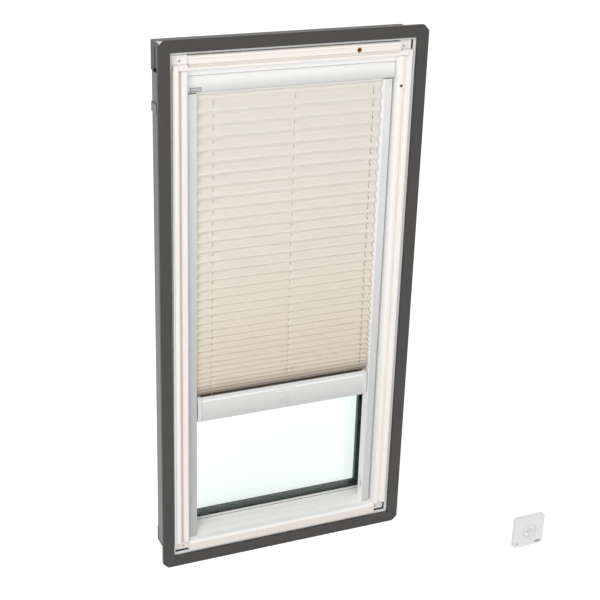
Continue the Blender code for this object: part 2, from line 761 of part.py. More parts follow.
def side_clip(side_name):
    """A strap that hooks the flashing to the side cover."""
    outside = COVER_HALF + SEAT
    back = COVER_BACK + SEAT
    outline = filleted([
        (outside, back - CLIP_REACH), (outside + CLIP_SHEET, back - CLIP_REACH),
        (outside + CLIP_SHEET, back + CLIP_SHEET, CLIP_SHEET),
        (outside - CLIP_REACH / 2, back + CLIP_SHEET), (outside - CLIP_REACH / 2, back),
        (outside, back),
    ])
    high = COVER_TOP - CLIP_DROP
    return extrusion(f"side_clip_{side_name}", STEEL, [mirrored(outline, SIDES[side_name])], "z",
                     high - CLIP_HEIGHT, high)


# Blind headrail: a white channel that snaps to an angle screwed under the pine head
BLIND_SCREW = (3.2 * MM, 1.6 * MM, 14 * MM)


def fixing_angle():
    front = HEADRAIL_SETBACK
    top = OPENING_TOP - SEAT
    low = HEADRAIL_TOP + SEAT
    outline = [
        Vector((front, low)), Vector((front + FIXING_WALL, low)),
        Vector((front + FIXING_WALL, top - FIXING_WALL)),
        Vector((HEADRAIL_BACK, top - FIXING_WALL)), Vector((HEADRAIL_BACK, top)),
        Vector((front, top)),
    ]
    angle = extrusion("fixing_angle", WHITE_METAL, [outline], "x", -HEADRAIL_HALF, HEADRAIL_HALF)
    cut(angle, angle_screw_holes("angle_screw_hole"))
    return angle


def headrail_clips():
    """Spring clips between the angle and the headrail's top."""
    low = HEADRAIL_TOP + SEAT
    high = OPENING_TOP - FIXING_WALL - 2 * SEAT
    front = HEADRAIL_SETBACK + FIXING_WALL + SEAT
    back = HEADRAIL_BACK - HEADRAIL_WALL
    arm = 2 * MM
    outline = [
        Vector((front, low)), Vector((back, low)), Vector((back, high)),
        Vector((front + arm, high)), Vector((front + arm, high - arm)),
        Vector((back - arm, high - arm)), Vector((back - arm, low + arm)),
        Vector((front + arm, low + arm)), Vector((front + arm, low + 2 * arm)),
        Vector((front, low + 2 * arm)),
    ]
    for place_name, x in CORD_PLACES.items():
        start = x - CORD_OFFSET - CLIP_BLOCK / 2
        extrusion(f"headrail_clip_{place_name}", STEEL, [outline], "x", start, start + CLIP_BLOCK)


def bowed_face(inset, steps=6):
    """The headrail's bowed front in YZ, foot to top, with its rounded corners."""
    radius = HEADRAIL_BOW - inset
    half = HEADRAIL_HEIGHT / 2 - inset
    middle = (HEADRAIL_BOTTOM + HEADRAIL_TOP) / 2
    face = []
    for step in range(steps + 1):
        angle = math.asin(half / radius) * (2 * step / steps - 1)
        face.append((HEADRAIL_SETBACK + HEADRAIL_BOW - radius * math.cos(angle),
                     middle + radius * math.sin(angle)))
    face[0] += (HEADRAIL_CHIN - inset,)
    face[-1] += (HEADRAIL_ROUND - inset,)
    return face


def headrail():
    wall = HEADRAIL_WALL
    back = HEADRAIL_BACK - wall - SEAT
    low = HEADRAIL_BOTTOM
    high = HEADRAIL_TOP
    outline = filleted([(back, low), (back, low + wall)] + bowed_face(wall)
                       + [(back, high - wall), (back, high)] + bowed_face(0.0)[::-1], 4)
    half = HEADRAIL_HALF - END_CAP - SEAT
    rail = extrusion("headrail", WHITE_METAL, [outline], "x", -half, half, 30)
    for place_name, x in CORD_PLACES.items():
        outlet = [ring((x, -CORD_DEPTH), CORD_HOLE, 12)]
        mesh = sheet_mesh(f"cord_outlet_{place_name}", outlet, 4 * wall)
        turn = Matrix.Translation((0, 0, low)) @ Matrix.Rotation(math.pi, 4, "X")
        cut(rail, add(f"cord_outlet_{place_name}", mesh, WHITE_METAL, turn))
    return rail


def headrail_back():
    half = HEADRAIL_HALF - END_CAP - SEAT
    return box("headrail_back", WHITE_METAL,
               (-half, HEADRAIL_BACK - HEADRAIL_WALL, HEADRAIL_BOTTOM),
               (half, HEADRAIL_BACK, HEADRAIL_TOP))


def solar_strip():
    middle = (HEADRAIL_BOTTOM + HEADRAIL_TOP) / 2
    front = HEADRAIL_BACK + SEAT
    return box("solar_strip", SOLAR,
               (-SOLAR_LENGTH / 2, front, middle - SOLAR_HEIGHT / 2),
               (SOLAR_LENGTH / 2, front + SOLAR_THICK, middle + SOLAR_HEIGHT / 2))


def end_cap(side_name):
    """A moulded plate with a plug that enters the headrail."""
    side = SIDES[side_name]
    low = HEADRAIL_BOTTOM
    high = HEADRAIL_TOP
    outline = filleted([(HEADRAIL_BACK, high), (HEADRAIL_BACK, low)] + bowed_face(0.0), 4)
    ends = sorted((side * (HEADRAIL_HALF - END_CAP), side * HEADRAIL_HALF))
    cap = extrusion(f"end_cap_{side_name}", WHITE_PLASTIC, [outline], "x", ends[0], ends[1], 30)
    inside = HEADRAIL_WALL + SEAT
    front = HEADRAIL_SETBACK + HEADRAIL_BULGE + inside
    plug = filleted([
        (front, low + inside, HEADRAIL_CHIN), (HEADRAIL_BACK - inside, low + inside),
        (HEADRAIL_BACK - inside, high - inside), (front, high - inside, HEADRAIL_ROUND),
    ], 3)
    hole = ring((SHAFT_DEPTH, SHAFT_HEIGHT), SHAFT_RADIUS + SEAT, 12)
    reach = sorted((side * (SHAFT_HALF - PLUG_REACH / 2),
                    side * (HEADRAIL_HALF - END_CAP + SEAT)))
    weld_on(cap, extrusion(f"cap_plug_{side_name}", WHITE_PLASTIC, [plug], "x",
                           reach[0], reach[1]))
    bore = sorted((side * (SHAFT_HALF - PLUG_REACH), side * (SHAFT_HALF + SEAT * 2)))
    cut(cap, extrusion(f"cap_bore_{side_name}", WHITE_PLASTIC, [hole], "x", bore[0], bore[1]))
    return cap


def angle_screw_places():
    high = OPENING_TOP - SEAT - FIXING_WALL
    middle = (HEADRAIL_SETBACK + HEADRAIL_BACK) / 2
    return [(side * (x + CLIP_BLOCK), middle, high)
            for side in (-1, 1) for x in (CLIP_BLOCK, CORD_SPACING)]


def angle_screw_holes(name):
    """Countersunk holes for the screws that hold the fixing angle up against the pine head."""
    mesh = turned_mesh(name, screw_profile(*BLIND_SCREW), 10)
    under = Matrix.Rotation(math.pi, 4, "X")
    return copies(name, STEEL, mesh,
                  [Matrix.Translation((x, y, z - SEAT)) @ under
                   for x, y, z in angle_screw_places()])


# Drive: hexagonal shaft, three cord spools, gearbox, motor, battery and board
def drive_shaft():
    outline = ring((SHAFT_DEPTH, SHAFT_HEIGHT), SHAFT_RADIUS, 6)
    return extrusion("drive_shaft", STEEL, [outline], "x", -SHAFT_HALF, SHAFT_HALF)


def cord_spools():
    bore = SHAFT_RADIUS + SEAT
    half = SPOOL_LENGTH / 2
    rim = half - SPOOL_RIM
    profile = [
        (bore, half), (SPOOL_FLANGE, half), (SPOOL_FLANGE, rim), (SPOOL_RADIUS, rim - SPOOL_RIM),
        (SPOOL_RADIUS, SPOOL_RIM - rim), (SPOOL_FLANGE, -rim), (SPOOL_FLANGE, -half), (bore, -half),
    ]
    made = []
    for place_name, x in CORD_PLACES.items():
        mesh = turned_mesh(f"cord_spool_{place_name}", profile, 12)
        made.append(add(f"cord_spool_{place_name}", mesh, GREY_PLASTIC,
                        along_x(x, SHAFT_DEPTH, SHAFT_HEIGHT), 40))
    return made


def spool_cradle(place_name):
    """A U-shaped bracket round a spool carries the shaft and lets the cord out."""
    x = CORD_PLACES[place_name]
    floor = HEADRAIL_BOTTOM + HEADRAIL_WALL + SEAT
    wall = CRADLE_WALL
    width = SPOOL_LENGTH / 2 + 2 * SEAT
    high = SHAFT_HEIGHT + SHAFT_RADIUS + 2 * wall
    outline = [
        Vector((x - width - wall, floor)), Vector((x + width + wall, floor)),
        Vector((x + width + wall, high)), Vector((x + width, high)),
        Vector((x + width, floor + wall)), Vector((x - width, floor + wall)),
        Vector((x - width, high)), Vector((x - width - wall, high)),
    ]
    cradle = extrusion(f"spool_cradle_{place_name}", GREY_PLASTIC, [outline], "y",
                       SHAFT_DEPTH - CRADLE_DEPTH / 2, SHAFT_DEPTH + CRADLE_DEPTH / 2)
    hole = ring((SHAFT_DEPTH, SHAFT_HEIGHT), SHAFT_RADIUS + SEAT, 12)
    cut(cradle, extrusion(f"shaft_tunnel_{place_name}", GREY_PLASTIC, [hole], "x",
                          x - SPOOL_LENGTH, x + SPOOL_LENGTH))
    outlet = [ring((x, -CORD_DEPTH), CORD_HOLE, 8)]
    mesh = sheet_mesh(f"cradle_outlet_{place_name}", outlet, 4 * wall)
    turn = Matrix.Translation((0, 0, floor)) @ Matrix.Rotation(math.pi, 4, "X")
    cut(cradle, add(f"cradle_outlet_{place_name}", mesh, GREY_PLASTIC, turn))
    return cradle


def drive_unit():
    inside_front = HEADRAIL_SETBACK + HEADRAIL_WALL + SEAT
    floor = HEADRAIL_BOTTOM + HEADRAIL_WALL + SEAT
    roof = HEADRAIL_TOP - HEADRAIL_WALL - SEAT
    start = CORD_OFFSET + GEARBOX_START
    end = start + GEARBOX_LENGTH
    back = SHAFT_DEPTH + CRADLE_DEPTH / 2
    clear_of_bow = inside_front + HEADRAIL_BULGE
    housing = filleted([
        (clear_of_bow, floor, HEADRAIL_CHIN), (back, floor), (back, roof),
        (clear_of_bow, roof, HEADRAIL_ROUND),
    ])
    gearbox = extrusion("gearbox", GREY_PLASTIC, [housing], "x", start, end, 30)
    hole = ring((SHAFT_DEPTH, SHAFT_HEIGHT), SHAFT_RADIUS + SEAT, 12)
    cut(gearbox, extrusion("gearbox_bore", GREY_PLASTIC, [hole], "x",
                           start - GEARBOX_LENGTH, end + GEARBOX_LENGTH))
    center = (inside_front + MOTOR_RADIUS + SEAT, HEADRAIL_BOTTOM + MOTOR_RISE)
    extrusion("motor", STEEL, [ring(center, MOTOR_RADIUS, 16)], "x",
              end + SEAT, end + SEAT + MOTOR_LENGTH, 40)
    middle = (floor + roof) / 2
    round_end = BATTERY_DEPTH / 2 - SEAT
    cells = filleted([
        (clear_of_bow, floor, round_end), (clear_of_bow + BATTERY_DEPTH, floor, round_end),
        (clear_of_bow + BATTERY_DEPTH, floor + BATTERY_HEIGHT, round_end),
        (clear_of_bow, floor + BATTERY_HEIGHT, round_end),
    ], 4)
    end = CORD_OFFSET - SPOOL_LENGTH / 2 - CRADLE_WALL - 4 * SEAT
    extrusion("battery_pack", GREY_PLASTIC, [cells], "x", end - BATTERY_LENGTH, end, 30)
    board_back = HEADRAIL_BACK - HEADRAIL_WALL - SEAT
    return box("control_board", BOARD,
               (end - BOARD_LENGTH, board_back - BOARD_THICK, middle - BOARD_HEIGHT / 2),
               (end, board_back, middle + BOARD_HEIGHT / 2))


# Side rails: white channels open to the glass, which guide the ends of the bottom bar
def side_rail(side_name):
    side = SIDES[side_name]
    wall = RAIL_WALL
    front = HEADRAIL_SETBACK
    foot = OPENING_HALF - SEAT
    outline = filleted([
        (RAIL_INNER, RAIL_BACK), (RAIL_INNER, front, wall), (RAIL_OUTER, front, wall),
        (RAIL_OUTER, RAIL_BACK - RAIL_FOOT), (foot, RAIL_BACK - RAIL_FOOT), (foot, RAIL_BACK),
        (RAIL_OUTER - RAIL_LIP, RAIL_BACK), (RAIL_OUTER - RAIL_LIP, RAIL_BACK - wall),
        (RAIL_OUTER - wall, RAIL_BACK - wall), (RAIL_OUTER - wall, front + wall),
        (RAIL_INNER + wall, front + wall), (RAIL_INNER + wall, RAIL_BACK),
    ], 2)
    low = OPENING_BOTTOM + SEAT
    rail = extrusion(f"side_rail_{side_name}", WHITE_METAL, [mirrored(outline, side)], "z",
                     low - SILL_RISE, HEADRAIL_BOTTOM - SEAT, 30)
    under = low - 2 * SILL_RISE
    wedge = [Vector((0, low)), Vector((SILL_FLAT, low)), Vector((PINE_DEPTH, low + SILL_RISE)),
             Vector((PINE_DEPTH, under)), Vector((0, under))]
    cut(rail, extrusion(f"sill_slope_{side_name}", WHITE_METAL, [wedge], "x",
                        -HALF_WIDTH, HALF_WIDTH))
    return rail


# Pleated cloth and its lift cords
def fold_heights():
    """Heights of the folds, back and front in turn; the pleats close up towards the bar."""
    mean = CLOTH_HEIGHT / PLEATS
    closing = (TOP_PLEAT - mean) * (PLEAT_FALLOFF + 1)
    periods = [TOP_PLEAT - closing * ((k + 0.5) / PLEATS) ** PLEAT_FALLOFF for k in range(PLEATS)]
    scale = CLOTH_HEIGHT / sum(periods)
    heights = [CLOTH_TOP]
    for period in periods:
        heights.append(heights[-1] - scale * period / 2)
        heights.append(heights[-1] - scale * period / 2)
    return heights


def cloth_folds():
    """Middle line of the cloth in YZ: it leaves its strips halfway along a flat."""
    heights = fold_heights()
    line = [(Vector((CORD_DEPTH, CLOTH_TOP)), 0.0)]
    for index in range(1, len(heights)):
        rise = (heights[index - 1] - heights[index])
        reach = math.sqrt(max(PLEAT_FLAT ** 2 - rise ** 2, 0.0)) / 2
        forward = -1 if index % 2 else 1
        place = Vector((CORD_DEPTH + forward * reach, (heights[index - 1] + heights[index]) / 2))
        line.append((place, rise))
    line.append((Vector((CORD_DEPTH, CLOTH_BOTTOM)), line[-1][1]))
    line[0] = (line[0][0], line[1][1])
    return line


def pleated_cloth():
    front = []
    back = []
    for place, rise in cloth_folds():
        sideways = min(PLEAT_FLAT / rise, 4.0) * CLOTH_THICK / 2
        front.append(place - Vector((sideways, 0)))
        back.append(place + Vector((sideways, 0)))
    outline = front + back[::-1]
    cloth = extrusion("pleated_cloth", CLOTH, [outline], "x", -CLOTH_HALF, CLOTH_HALF)
    for place_name, x in CORD_PLACES.items():
        hole = CORD_HOLE
        cut(cloth, box(f"cloth_hole_{place_name}", CLOTH,
                       (x - hole, CORD_DEPTH - hole, CLOTH_BOTTOM - 10 * hole),
                       (x + hole, CORD_DEPTH + hole, CLOTH_TOP + 10 * hole)))
    return cloth


def cloth_strip(name, half, low):
    """A flat strip that grips one end of the cloth."""
    strip = box(name, WHITE_PLASTIC,
                (-half, CORD_DEPTH - STRIP_DEPTH / 2, low),
                (half, CORD_DEPTH + STRIP_DEPTH / 2, low + STRIP_HEIGHT))
    for place_name, x in CORD_PLACES.items():
        hole = CORD_HOLE
        cut(strip, box(f"{name}_{place_name}", WHITE_PLASTIC,
                       (x - hole, CORD_DEPTH - hole, low - hole),
                       (x + hole, CORD_DEPTH + hole, low + STRIP_HEIGHT + hole)))
    return strip


def lift_cord(place_name):
    """Runs from the front of its spool straight down to the bar, which it holds by a knot."""
    x = CORD_PLACES[place_name]
    curve = bpy.data.curves.new(f"lift_cord_{place_name}", "CURVE")
    curve.dimensions = "3D"
    curve.bevel_depth = CORD_RADIUS
    curve.bevel_resolution = 2
    curve.use_fill_caps = True
    spline = curve.splines.new("POLY")
    spline.points.add(1)
    spline.points[0].co = (x, CORD_DEPTH - SEAT, SHAFT_HEIGHT, 1)
    spline.points[1].co = (x, CORD_DEPTH - SEAT, BAR_TOP - STRIP_HEIGHT - BAR_WALL, 1)
    piece = bpy.data.objects.new(f"lift_cord_{place_name}", curve)
    curve.materials.append(CORD)
    PARTS.objects.link(piece)
    seat_on_window(piece)
    return piece


# Bottom bar: a hollow aluminium section with moulded ends that run behind the side rails
def bar_outline(inset):
    """The section is drawn in YZ, and an inset of one wall gives its hollow."""
    front = HEADRAIL_SETBACK + RUNNING + inset
    back = front + BAR_DEPTH - 2 * inset
    low = BAR_BOTTOM + inset
    high = BAR_TOP - inset
    lip = BAR_BOTTOM + BAR_LIP_HEIGHT
    small = 1.0 * MM
    return filleted([
        (back, low), (back, high), (front + BAR_SLOPE, high, 2 * MM),
        (front + small / 2, BAR_TOP - BAR_SHOULDER - inset / 2, 3 * MM),
        (front, (low + high) / 2, 20 * MM),
        (front + small / 2, lip), (front + small, lip - small),
        (front + 3 * small, low, 2 * MM),
    ], 3)


def bottom_bar():
    half = BAR_HALF - BAR_CAP - SEAT
    outlines = [bar_outline(0.0), bar_outline(BAR_WALL)]
    bar = extrusion("bottom_bar", WHITE_METAL, outlines, "x", -half, half, 30)
    channel = STRIP_DEPTH / 2 + SEAT
    cut(bar, box("cloth_channel", WHITE_METAL,
                 (-HALF_WIDTH, CORD_DEPTH - channel, BAR_TOP - STRIP_HEIGHT - SEAT),
                 (HALF_WIDTH, CORD_DEPTH + channel, BAR_TOP + STRIP_HEIGHT)))
    return bar


def bar_cap(side_name):
    """Closes the bar and carries a guide arm that hooks into the rail from behind."""
    side = SIDES[side_name]
    ends = sorted((side * (BAR_HALF - BAR_CAP), side * BAR_HALF))
    name = f"bar_cap_{side_name}"
    cap = extrusion(name, WHITE_PLASTIC, [bar_outline(BAR_CAP_STEP)], "x", ends[0], ends[1], 30)
    bar_back = HEADRAIL_SETBACK + RUNNING + BAR_DEPTH
    middle = (BAR_BOTTOM + BAR_TOP) / 2
    low = middle - GUIDE_HEIGHT / 2
    high = middle + GUIDE_HEIGHT / 2
    arm_front = RAIL_BACK + RUNNING
    finger = RAIL_INNER + RAIL_WALL + RUNNING
    arm_back = arm_front + GUIDE_THICK
    arm = [
        Vector((BAR_HALF - BAR_CAP, bar_back - GUIDE_THICK)),
        Vector((BAR_HALF, bar_back - GUIDE_THICK)), Vector((BAR_HALF, arm_front)),
        Vector((finger, arm_front)), Vector((finger, arm_front - GUIDE_FINGER)),
        Vector((finger + GUIDE_THICK, arm_front - GUIDE_FINGER)),
        Vector((finger + GUIDE_THICK, arm_back)), Vector((BAR_HALF - BAR_CAP, arm_back)),
    ]
    weld_on(cap, extrusion(f"guide_arm_{side_name}", WHITE_PLASTIC, [mirrored(arm, side)], "z",
                           low, high))
    return cap


def bar_grip():
    """A shallow finger lip at the middle of the bar's upper front edge."""
    front = HEADRAIL_SETBACK + RUNNING
    high = BAR_TOP - BAR_SHOULDER - GRIP_HEIGHT / 4
    outline = filleted([
        (front - SEAT, high - GRIP_HEIGHT), (front - SEAT, high, 0.5 * MM),
        (front - GRIP_REACH, high, 0.8 * MM), (front - GRIP_REACH / 2, high - GRIP_HEIGHT),
    ], 2)
    return extrusion("bar_grip", WHITE_PLASTIC, [outline], "x", -GRIP_LENGTH / 2, GRIP_LENGTH / 2)


# Wall keypad: a square plate with two half-ring buttons round a stop button
def keypad_outline(inset):
    low = inset
    high = KEYPAD_SIDE - inset
    left = KEYPAD_X - KEYPAD_MID + inset
    right = KEYPAD_X + KEYPAD_MID - inset
    radius = KEYPAD_ROUND - inset
    return filleted([(left, low, radius), (right, low, radius), (right, high, radius),
                     (left, high, radius)], 4)


DISC = (KEYPAD_X + DISC_SIDE, KEYPAD_MID + DISC_RISE)
COVER_FRONT_Y = -KEYPAD_FORWARD
COVER_BACK_Y = COVER_FRONT_Y + KEYPAD_COVER
BASE_BACK_Y = COVER_BACK_Y + SEAT + KEYPAD_BASE


def keypad_cover():
    inner = COVER_FRONT_Y + KEYPAD_WALL
    cover = extrusion("keypad_cover", WHITE_PLASTIC, [keypad_outline(0)], "y",
                      COVER_FRONT_Y, COVER_BACK_Y, 30)
    cut(cover, extrusion("keypad_hollow", WHITE_PLASTIC, [keypad_outline(KEYPAD_WALL)], "y",
                         inner, COVER_BACK_Y + KEYPAD_WALL))
    weld_on(cover, extrusion("keypad_rim", WHITE_PLASTIC,
                             [ring(DISC, RIM_RADIUS, 32), ring(DISC, DISC_RADIUS, 32)], "y",
                             COVER_FRONT_Y - RIM_HEIGHT, inner))
    cut(cover, extrusion("disc_hole", WHITE_PLASTIC, [ring(DISC, DISC_RADIUS, 32)], "y",
                         COVER_FRONT_Y - KEYPAD_COVER, COVER_BACK_Y))
    light = (KEYPAD_X - KEYPAD_MID + LIGHT_INSET, LIGHT_RISE)
    cut(cover, extrusion("light_hole", WHITE_PLASTIC, [ring(light, LIGHT_RADIUS + SEAT, 12)], "y",
                         COVER_FRONT_Y - KEYPAD_COVER, COVER_BACK_Y))
    return cover


def keypad_base():
    base = extrusion("keypad_base", WHITE_PLASTIC, [keypad_outline(0)], "y",
                     COVER_BACK_Y + SEAT, BASE_BACK_Y, 30)
    cut(base, extrusion("base_hollow", WHITE_PLASTIC, [keypad_outline(2 * KEYPAD_WALL)], "y",
                        COVER_FRONT_Y, BASE_BACK_Y - KEYPAD_WALL))
    stop = COVER_FRONT_Y - BUTTON_PROUD + BUTTON_THICK + BUTTON_TRAVEL + SEAT
    outlines = [ring(DISC, DISC_RADIUS - PEDESTAL, 24), ring(DISC, DISC_RADIUS - 2 * PEDESTAL, 24)]
    weld_on(base, extrusion("outer_stop", WHITE_PLASTIC, outlines, "y",
                            stop, BASE_BACK_Y - KEYPAD_WALL / 2))
    weld_on(base, extrusion("middle_stop", WHITE_PLASTIC, [ring(DISC, PEDESTAL, 12)], "y",
                            stop, BASE_BACK_Y - KEYPAD_WALL / 2))
    return base


def half_ring(inner, outer, upward, steps=14):
    """Half a ring whose straight ends stand back from the middle line by half a gap."""
    points = []
    for radius, forward in ((outer, True), (inner, False)):
        trim = math.asin(BUTTON_GAP / 2 / radius)
        for step in range(steps + 1):
            share = step / steps if forward else 1 - step / steps
            angle = trim + (math.pi - 2 * trim) * share
            points.append(Vector(DISC) + upward * radius
                          * Vector((math.cos(angle), math.sin(angle))))
    return points


def keypad_button(name, outline):
    front = COVER_FRONT_Y - BUTTON_PROUD
    return extrusion(name, WHITE_PLASTIC, [outline], "y", front, front + BUTTON_THICK, 30)


def keypad_buttons():
    outer = DISC_RADIUS - BUTTON_FIT
    keypad_button("up_button", half_ring(DISC_INNER, outer, 1))
    keypad_button("down_button", half_ring(DISC_INNER, outer, -1))
    keypad_button("stop_button", ring(DISC, DISC_INNER - BUTTON_FIT, 20))


def keypad_light():
    light = (KEYPAD_X - KEYPAD_MID + LIGHT_INSET, LIGHT_RISE)
    return extrusion("keypad_light", CLEAR, [ring(light, LIGHT_RADIUS, 12)], "y",
                     COVER_FRONT_Y + SEAT, COVER_BACK_Y, 40)


def build():
    for side_name in SIDES:
        pine_stile(side_name)
    pine_head()
    pine_sill()
    deck_flanges()
    seal_and_foam()
    glass_unit()
    for side_name in SIDES:
        side_cover(side_name)
    end_cover("top_cover", True)
    end_cover("bottom_cover", False)
    for side_name in SIDES:
        side_clip(side_name)
    fixing_angle()
    headrail_clips()
    headrail()
    headrail_back()
    solar_strip()
    for side_name in SIDES:
        end_cap(side_name)
    drive_shaft()
    cord_spools()
    for place_name in CORD_PLACES:
        spool_cradle(place_name)
    drive_unit()
    for side_name in SIDES:
        side_rail(side_name)
    pleated_cloth()
    cloth_strip("cloth_head_strip", CLOTH_HALF, HEADRAIL_BOTTOM - SEAT - STRIP_HEIGHT)
    cloth_strip("cloth_foot_strip", BAR_HALF - BAR_CAP - 2 * SEAT, BAR_TOP - STRIP_HEIGHT)
    for place_name in CORD_PLACES:
        lift_cord(place_name)
    bottom_bar()
    for side_name in SIDES:
        bar_cap(side_name)
    bar_grip()
    keypad_cover()
    keypad_base()
    keypad_buttons()
    keypad_light()


build()
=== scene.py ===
"""A roof window with a motorised pleated blind in its reveal, and the blind's wall keypad."""

import math

import bmesh
import bpy
from mathutils import Matrix, Vector


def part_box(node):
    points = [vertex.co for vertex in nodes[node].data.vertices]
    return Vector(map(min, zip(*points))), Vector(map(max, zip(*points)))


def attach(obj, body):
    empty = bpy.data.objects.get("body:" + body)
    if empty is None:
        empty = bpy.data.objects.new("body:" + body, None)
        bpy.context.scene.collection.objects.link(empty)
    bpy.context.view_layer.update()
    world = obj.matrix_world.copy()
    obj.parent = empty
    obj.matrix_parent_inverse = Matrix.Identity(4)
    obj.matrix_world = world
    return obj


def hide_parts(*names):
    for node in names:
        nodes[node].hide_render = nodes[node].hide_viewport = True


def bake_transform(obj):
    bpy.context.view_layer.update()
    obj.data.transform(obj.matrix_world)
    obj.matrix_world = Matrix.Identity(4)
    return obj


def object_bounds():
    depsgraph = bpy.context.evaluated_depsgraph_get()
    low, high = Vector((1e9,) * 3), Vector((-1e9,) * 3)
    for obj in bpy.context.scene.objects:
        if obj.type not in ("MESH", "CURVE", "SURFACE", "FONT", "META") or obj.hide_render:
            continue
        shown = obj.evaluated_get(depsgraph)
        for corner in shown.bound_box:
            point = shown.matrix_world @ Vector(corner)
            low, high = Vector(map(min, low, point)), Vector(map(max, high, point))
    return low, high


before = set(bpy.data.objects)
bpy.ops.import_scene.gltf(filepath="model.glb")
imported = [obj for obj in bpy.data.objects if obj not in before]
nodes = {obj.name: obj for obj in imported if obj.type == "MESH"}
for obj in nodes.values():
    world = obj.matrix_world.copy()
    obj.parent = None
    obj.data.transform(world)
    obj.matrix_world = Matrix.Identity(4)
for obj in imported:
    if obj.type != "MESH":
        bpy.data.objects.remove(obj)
cad_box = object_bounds()

# The camera stands in front of the window, to its left and above it, and leans by a small roll.
# Its lens takes in the whole window and the keypad beside it.
VIEW_TURN = math.radians(-23.794)
VIEW_TILT = math.radians(23.390)
VIEW_ROLL = math.radians(-1.864)
VIEW_PLACE = (-1.08266, -2.50379, 1.80068)
LENS_LENGTH = 80.98
FILM_WIDTH = 36


def stand(name, data):
    """An object in the scene for a mesh, a lamp or the camera."""
    made = bpy.data.objects.new(name, data)
    bpy.context.scene.collection.objects.link(made)
    return made


toward = Vector((math.sin(VIEW_TURN) * math.cos(VIEW_TILT),
                 -math.cos(VIEW_TURN) * math.cos(VIEW_TILT), math.sin(VIEW_TILT)))
level = Vector((math.cos(VIEW_TURN), math.sin(VIEW_TURN), 0))
upright = toward.cross(level)
across = level * math.cos(VIEW_ROLL) - upright * math.sin(VIEW_ROLL)
over = level * math.sin(VIEW_ROLL) + upright * math.cos(VIEW_ROLL)
lens = bpy.data.cameras.new("room_view")
lens.sensor_width = FILM_WIDTH
lens.lens = LENS_LENGTH
camera = stand("room_view", lens)
camera.matrix_world = Matrix((
    (across.x, over.x, toward.x, VIEW_PLACE[0]),
    (across.y, over.y, toward.y, VIEW_PLACE[1]),
    (across.z, over.z, toward.z, VIEW_PLACE[2]),
    (0, 0, 0, 1)))
bpy.context.scene.camera = camera
bpy.context.scene.view_settings.view_transform = "Standard"


# The studio is a pale floor that the window stands on, in an even bright room, with one broad
# soft lamp on the left and weaker ones overhead and on the right. The room behind shows as
# plain white.
ROOM_LIGHT = 0.68
FLOOR_REACH = 14.0
FLOOR_COLOR = (0.84, 0.84, 0.84, 1)
FLOOR_GLOW = 0.5
PLAIN_WHITE = (1, 1, 1, 1)


def feed(tree, node, inputs):
    """Each named input of a node takes a value or another node's output."""
    for label, value in inputs.items():
        if isinstance(value, bpy.types.NodeSocket):
            tree.links.new(value, node.inputs[label])
        else:
            node.inputs[label].default_value = value


def put(tree, kind, inputs=None, **settings):
    """A shader node with its settings and inputs."""
    made = tree.nodes.new(kind)
    for label, value in settings.items():
        setattr(made, label, value)
    feed(tree, made, inputs or {})
    return made


def maths(tree, operation, first, second=0.0):
    return put(tree, "ShaderNodeMath", {0: first, 1: second}, operation=operation).outputs[0]


def seen_as_background(tree):
    """1 where the camera sees a surface straight on, in a gloss or through glass."""
    path = put(tree, "ShaderNodeLightPath").outputs
    plain = maths(tree, "MAXIMUM", path["Is Camera Ray"], path["Is Glossy Ray"])
    return maths(tree, "MAXIMUM", plain, path["Is Transmission Ray"])


def mesh_from(work, name, place=Matrix()):
    """The mesh of what was built, set at a place."""
    mesh = bpy.data.meshes.new(name)
    work.to_mesh(mesh)
    work.free()
    mesh.transform(place)
    return mesh


world = bpy.data.worlds.new("studio_air")
world.use_nodes = True
bpy.context.scene.world = world
air = world.node_tree
air.nodes.clear()
soft = put(air, "ShaderNodeBackground", {"Color": PLAIN_WHITE, "Strength": ROOM_LIGHT})
white = put(air, "ShaderNodeBackground", {"Color": PLAIN_WHITE, "Strength": 1.0})
shown = put(air, "ShaderNodeMixShader", {0: seen_as_background(air), 1: soft.outputs[0],
                                         2: white.outputs[0]})
put(air, "ShaderNodeOutputWorld", {"Surface": shown.outputs[0]})

work = bmesh.new()
bmesh.ops.create_grid(work, x_segments=2, y_segments=2, size=FLOOR_REACH)
floor_mesh = mesh_from(work, "studio_floor", Matrix.Translation((0, 0, cad_box[0][2])))
floor = stand("studio_floor", floor_mesh)
pale = bpy.data.materials.new("studio_floor")
pale.use_nodes = True
ground = pale.node_tree
matt = ground.nodes["Principled BSDF"]
feed(ground, matt, {"Base Color": FLOOR_COLOR, "Roughness": 0.9, "Specular IOR Level": 0.0})
lift = maths(ground, "MULTIPLY", seen_as_background(ground), FLOOR_GLOW)
glow = put(ground, "ShaderNodeEmission", {"Color": PLAIN_WHITE, "Strength": lift})
both = put(ground, "ShaderNodeAddShader", {0: matt.outputs[0], 1: glow.outputs[0]})
feed(ground, ground.nodes["Material Output"], {"Surface": both.outputs[0]})
floor_mesh.materials.append(pale)


def soft_lamp(name, place, aim, size, power):
    lamp = bpy.data.lights.new(name, "AREA")
    lamp.shape = "DISK"
    lamp.size = size
    lamp.energy = power
    held = stand(name, lamp)
    held.location = place
    held.rotation_euler = (Vector(aim) - Vector(place)).to_track_quat("-Z", "Y").to_euler()


soft_lamp("broad_lamp", (-2.9, -3.6, 3.0), (0, 0, 0.65), 3.0, 100)
soft_lamp("top_lamp", (-0.2, -0.35, 3.3), (0, 0, 0.3), 1.2, 11)
soft_lamp("side_lamp", (3.4, -3.2, 2.6), (0, 0, 0.6), 2.4, 8)


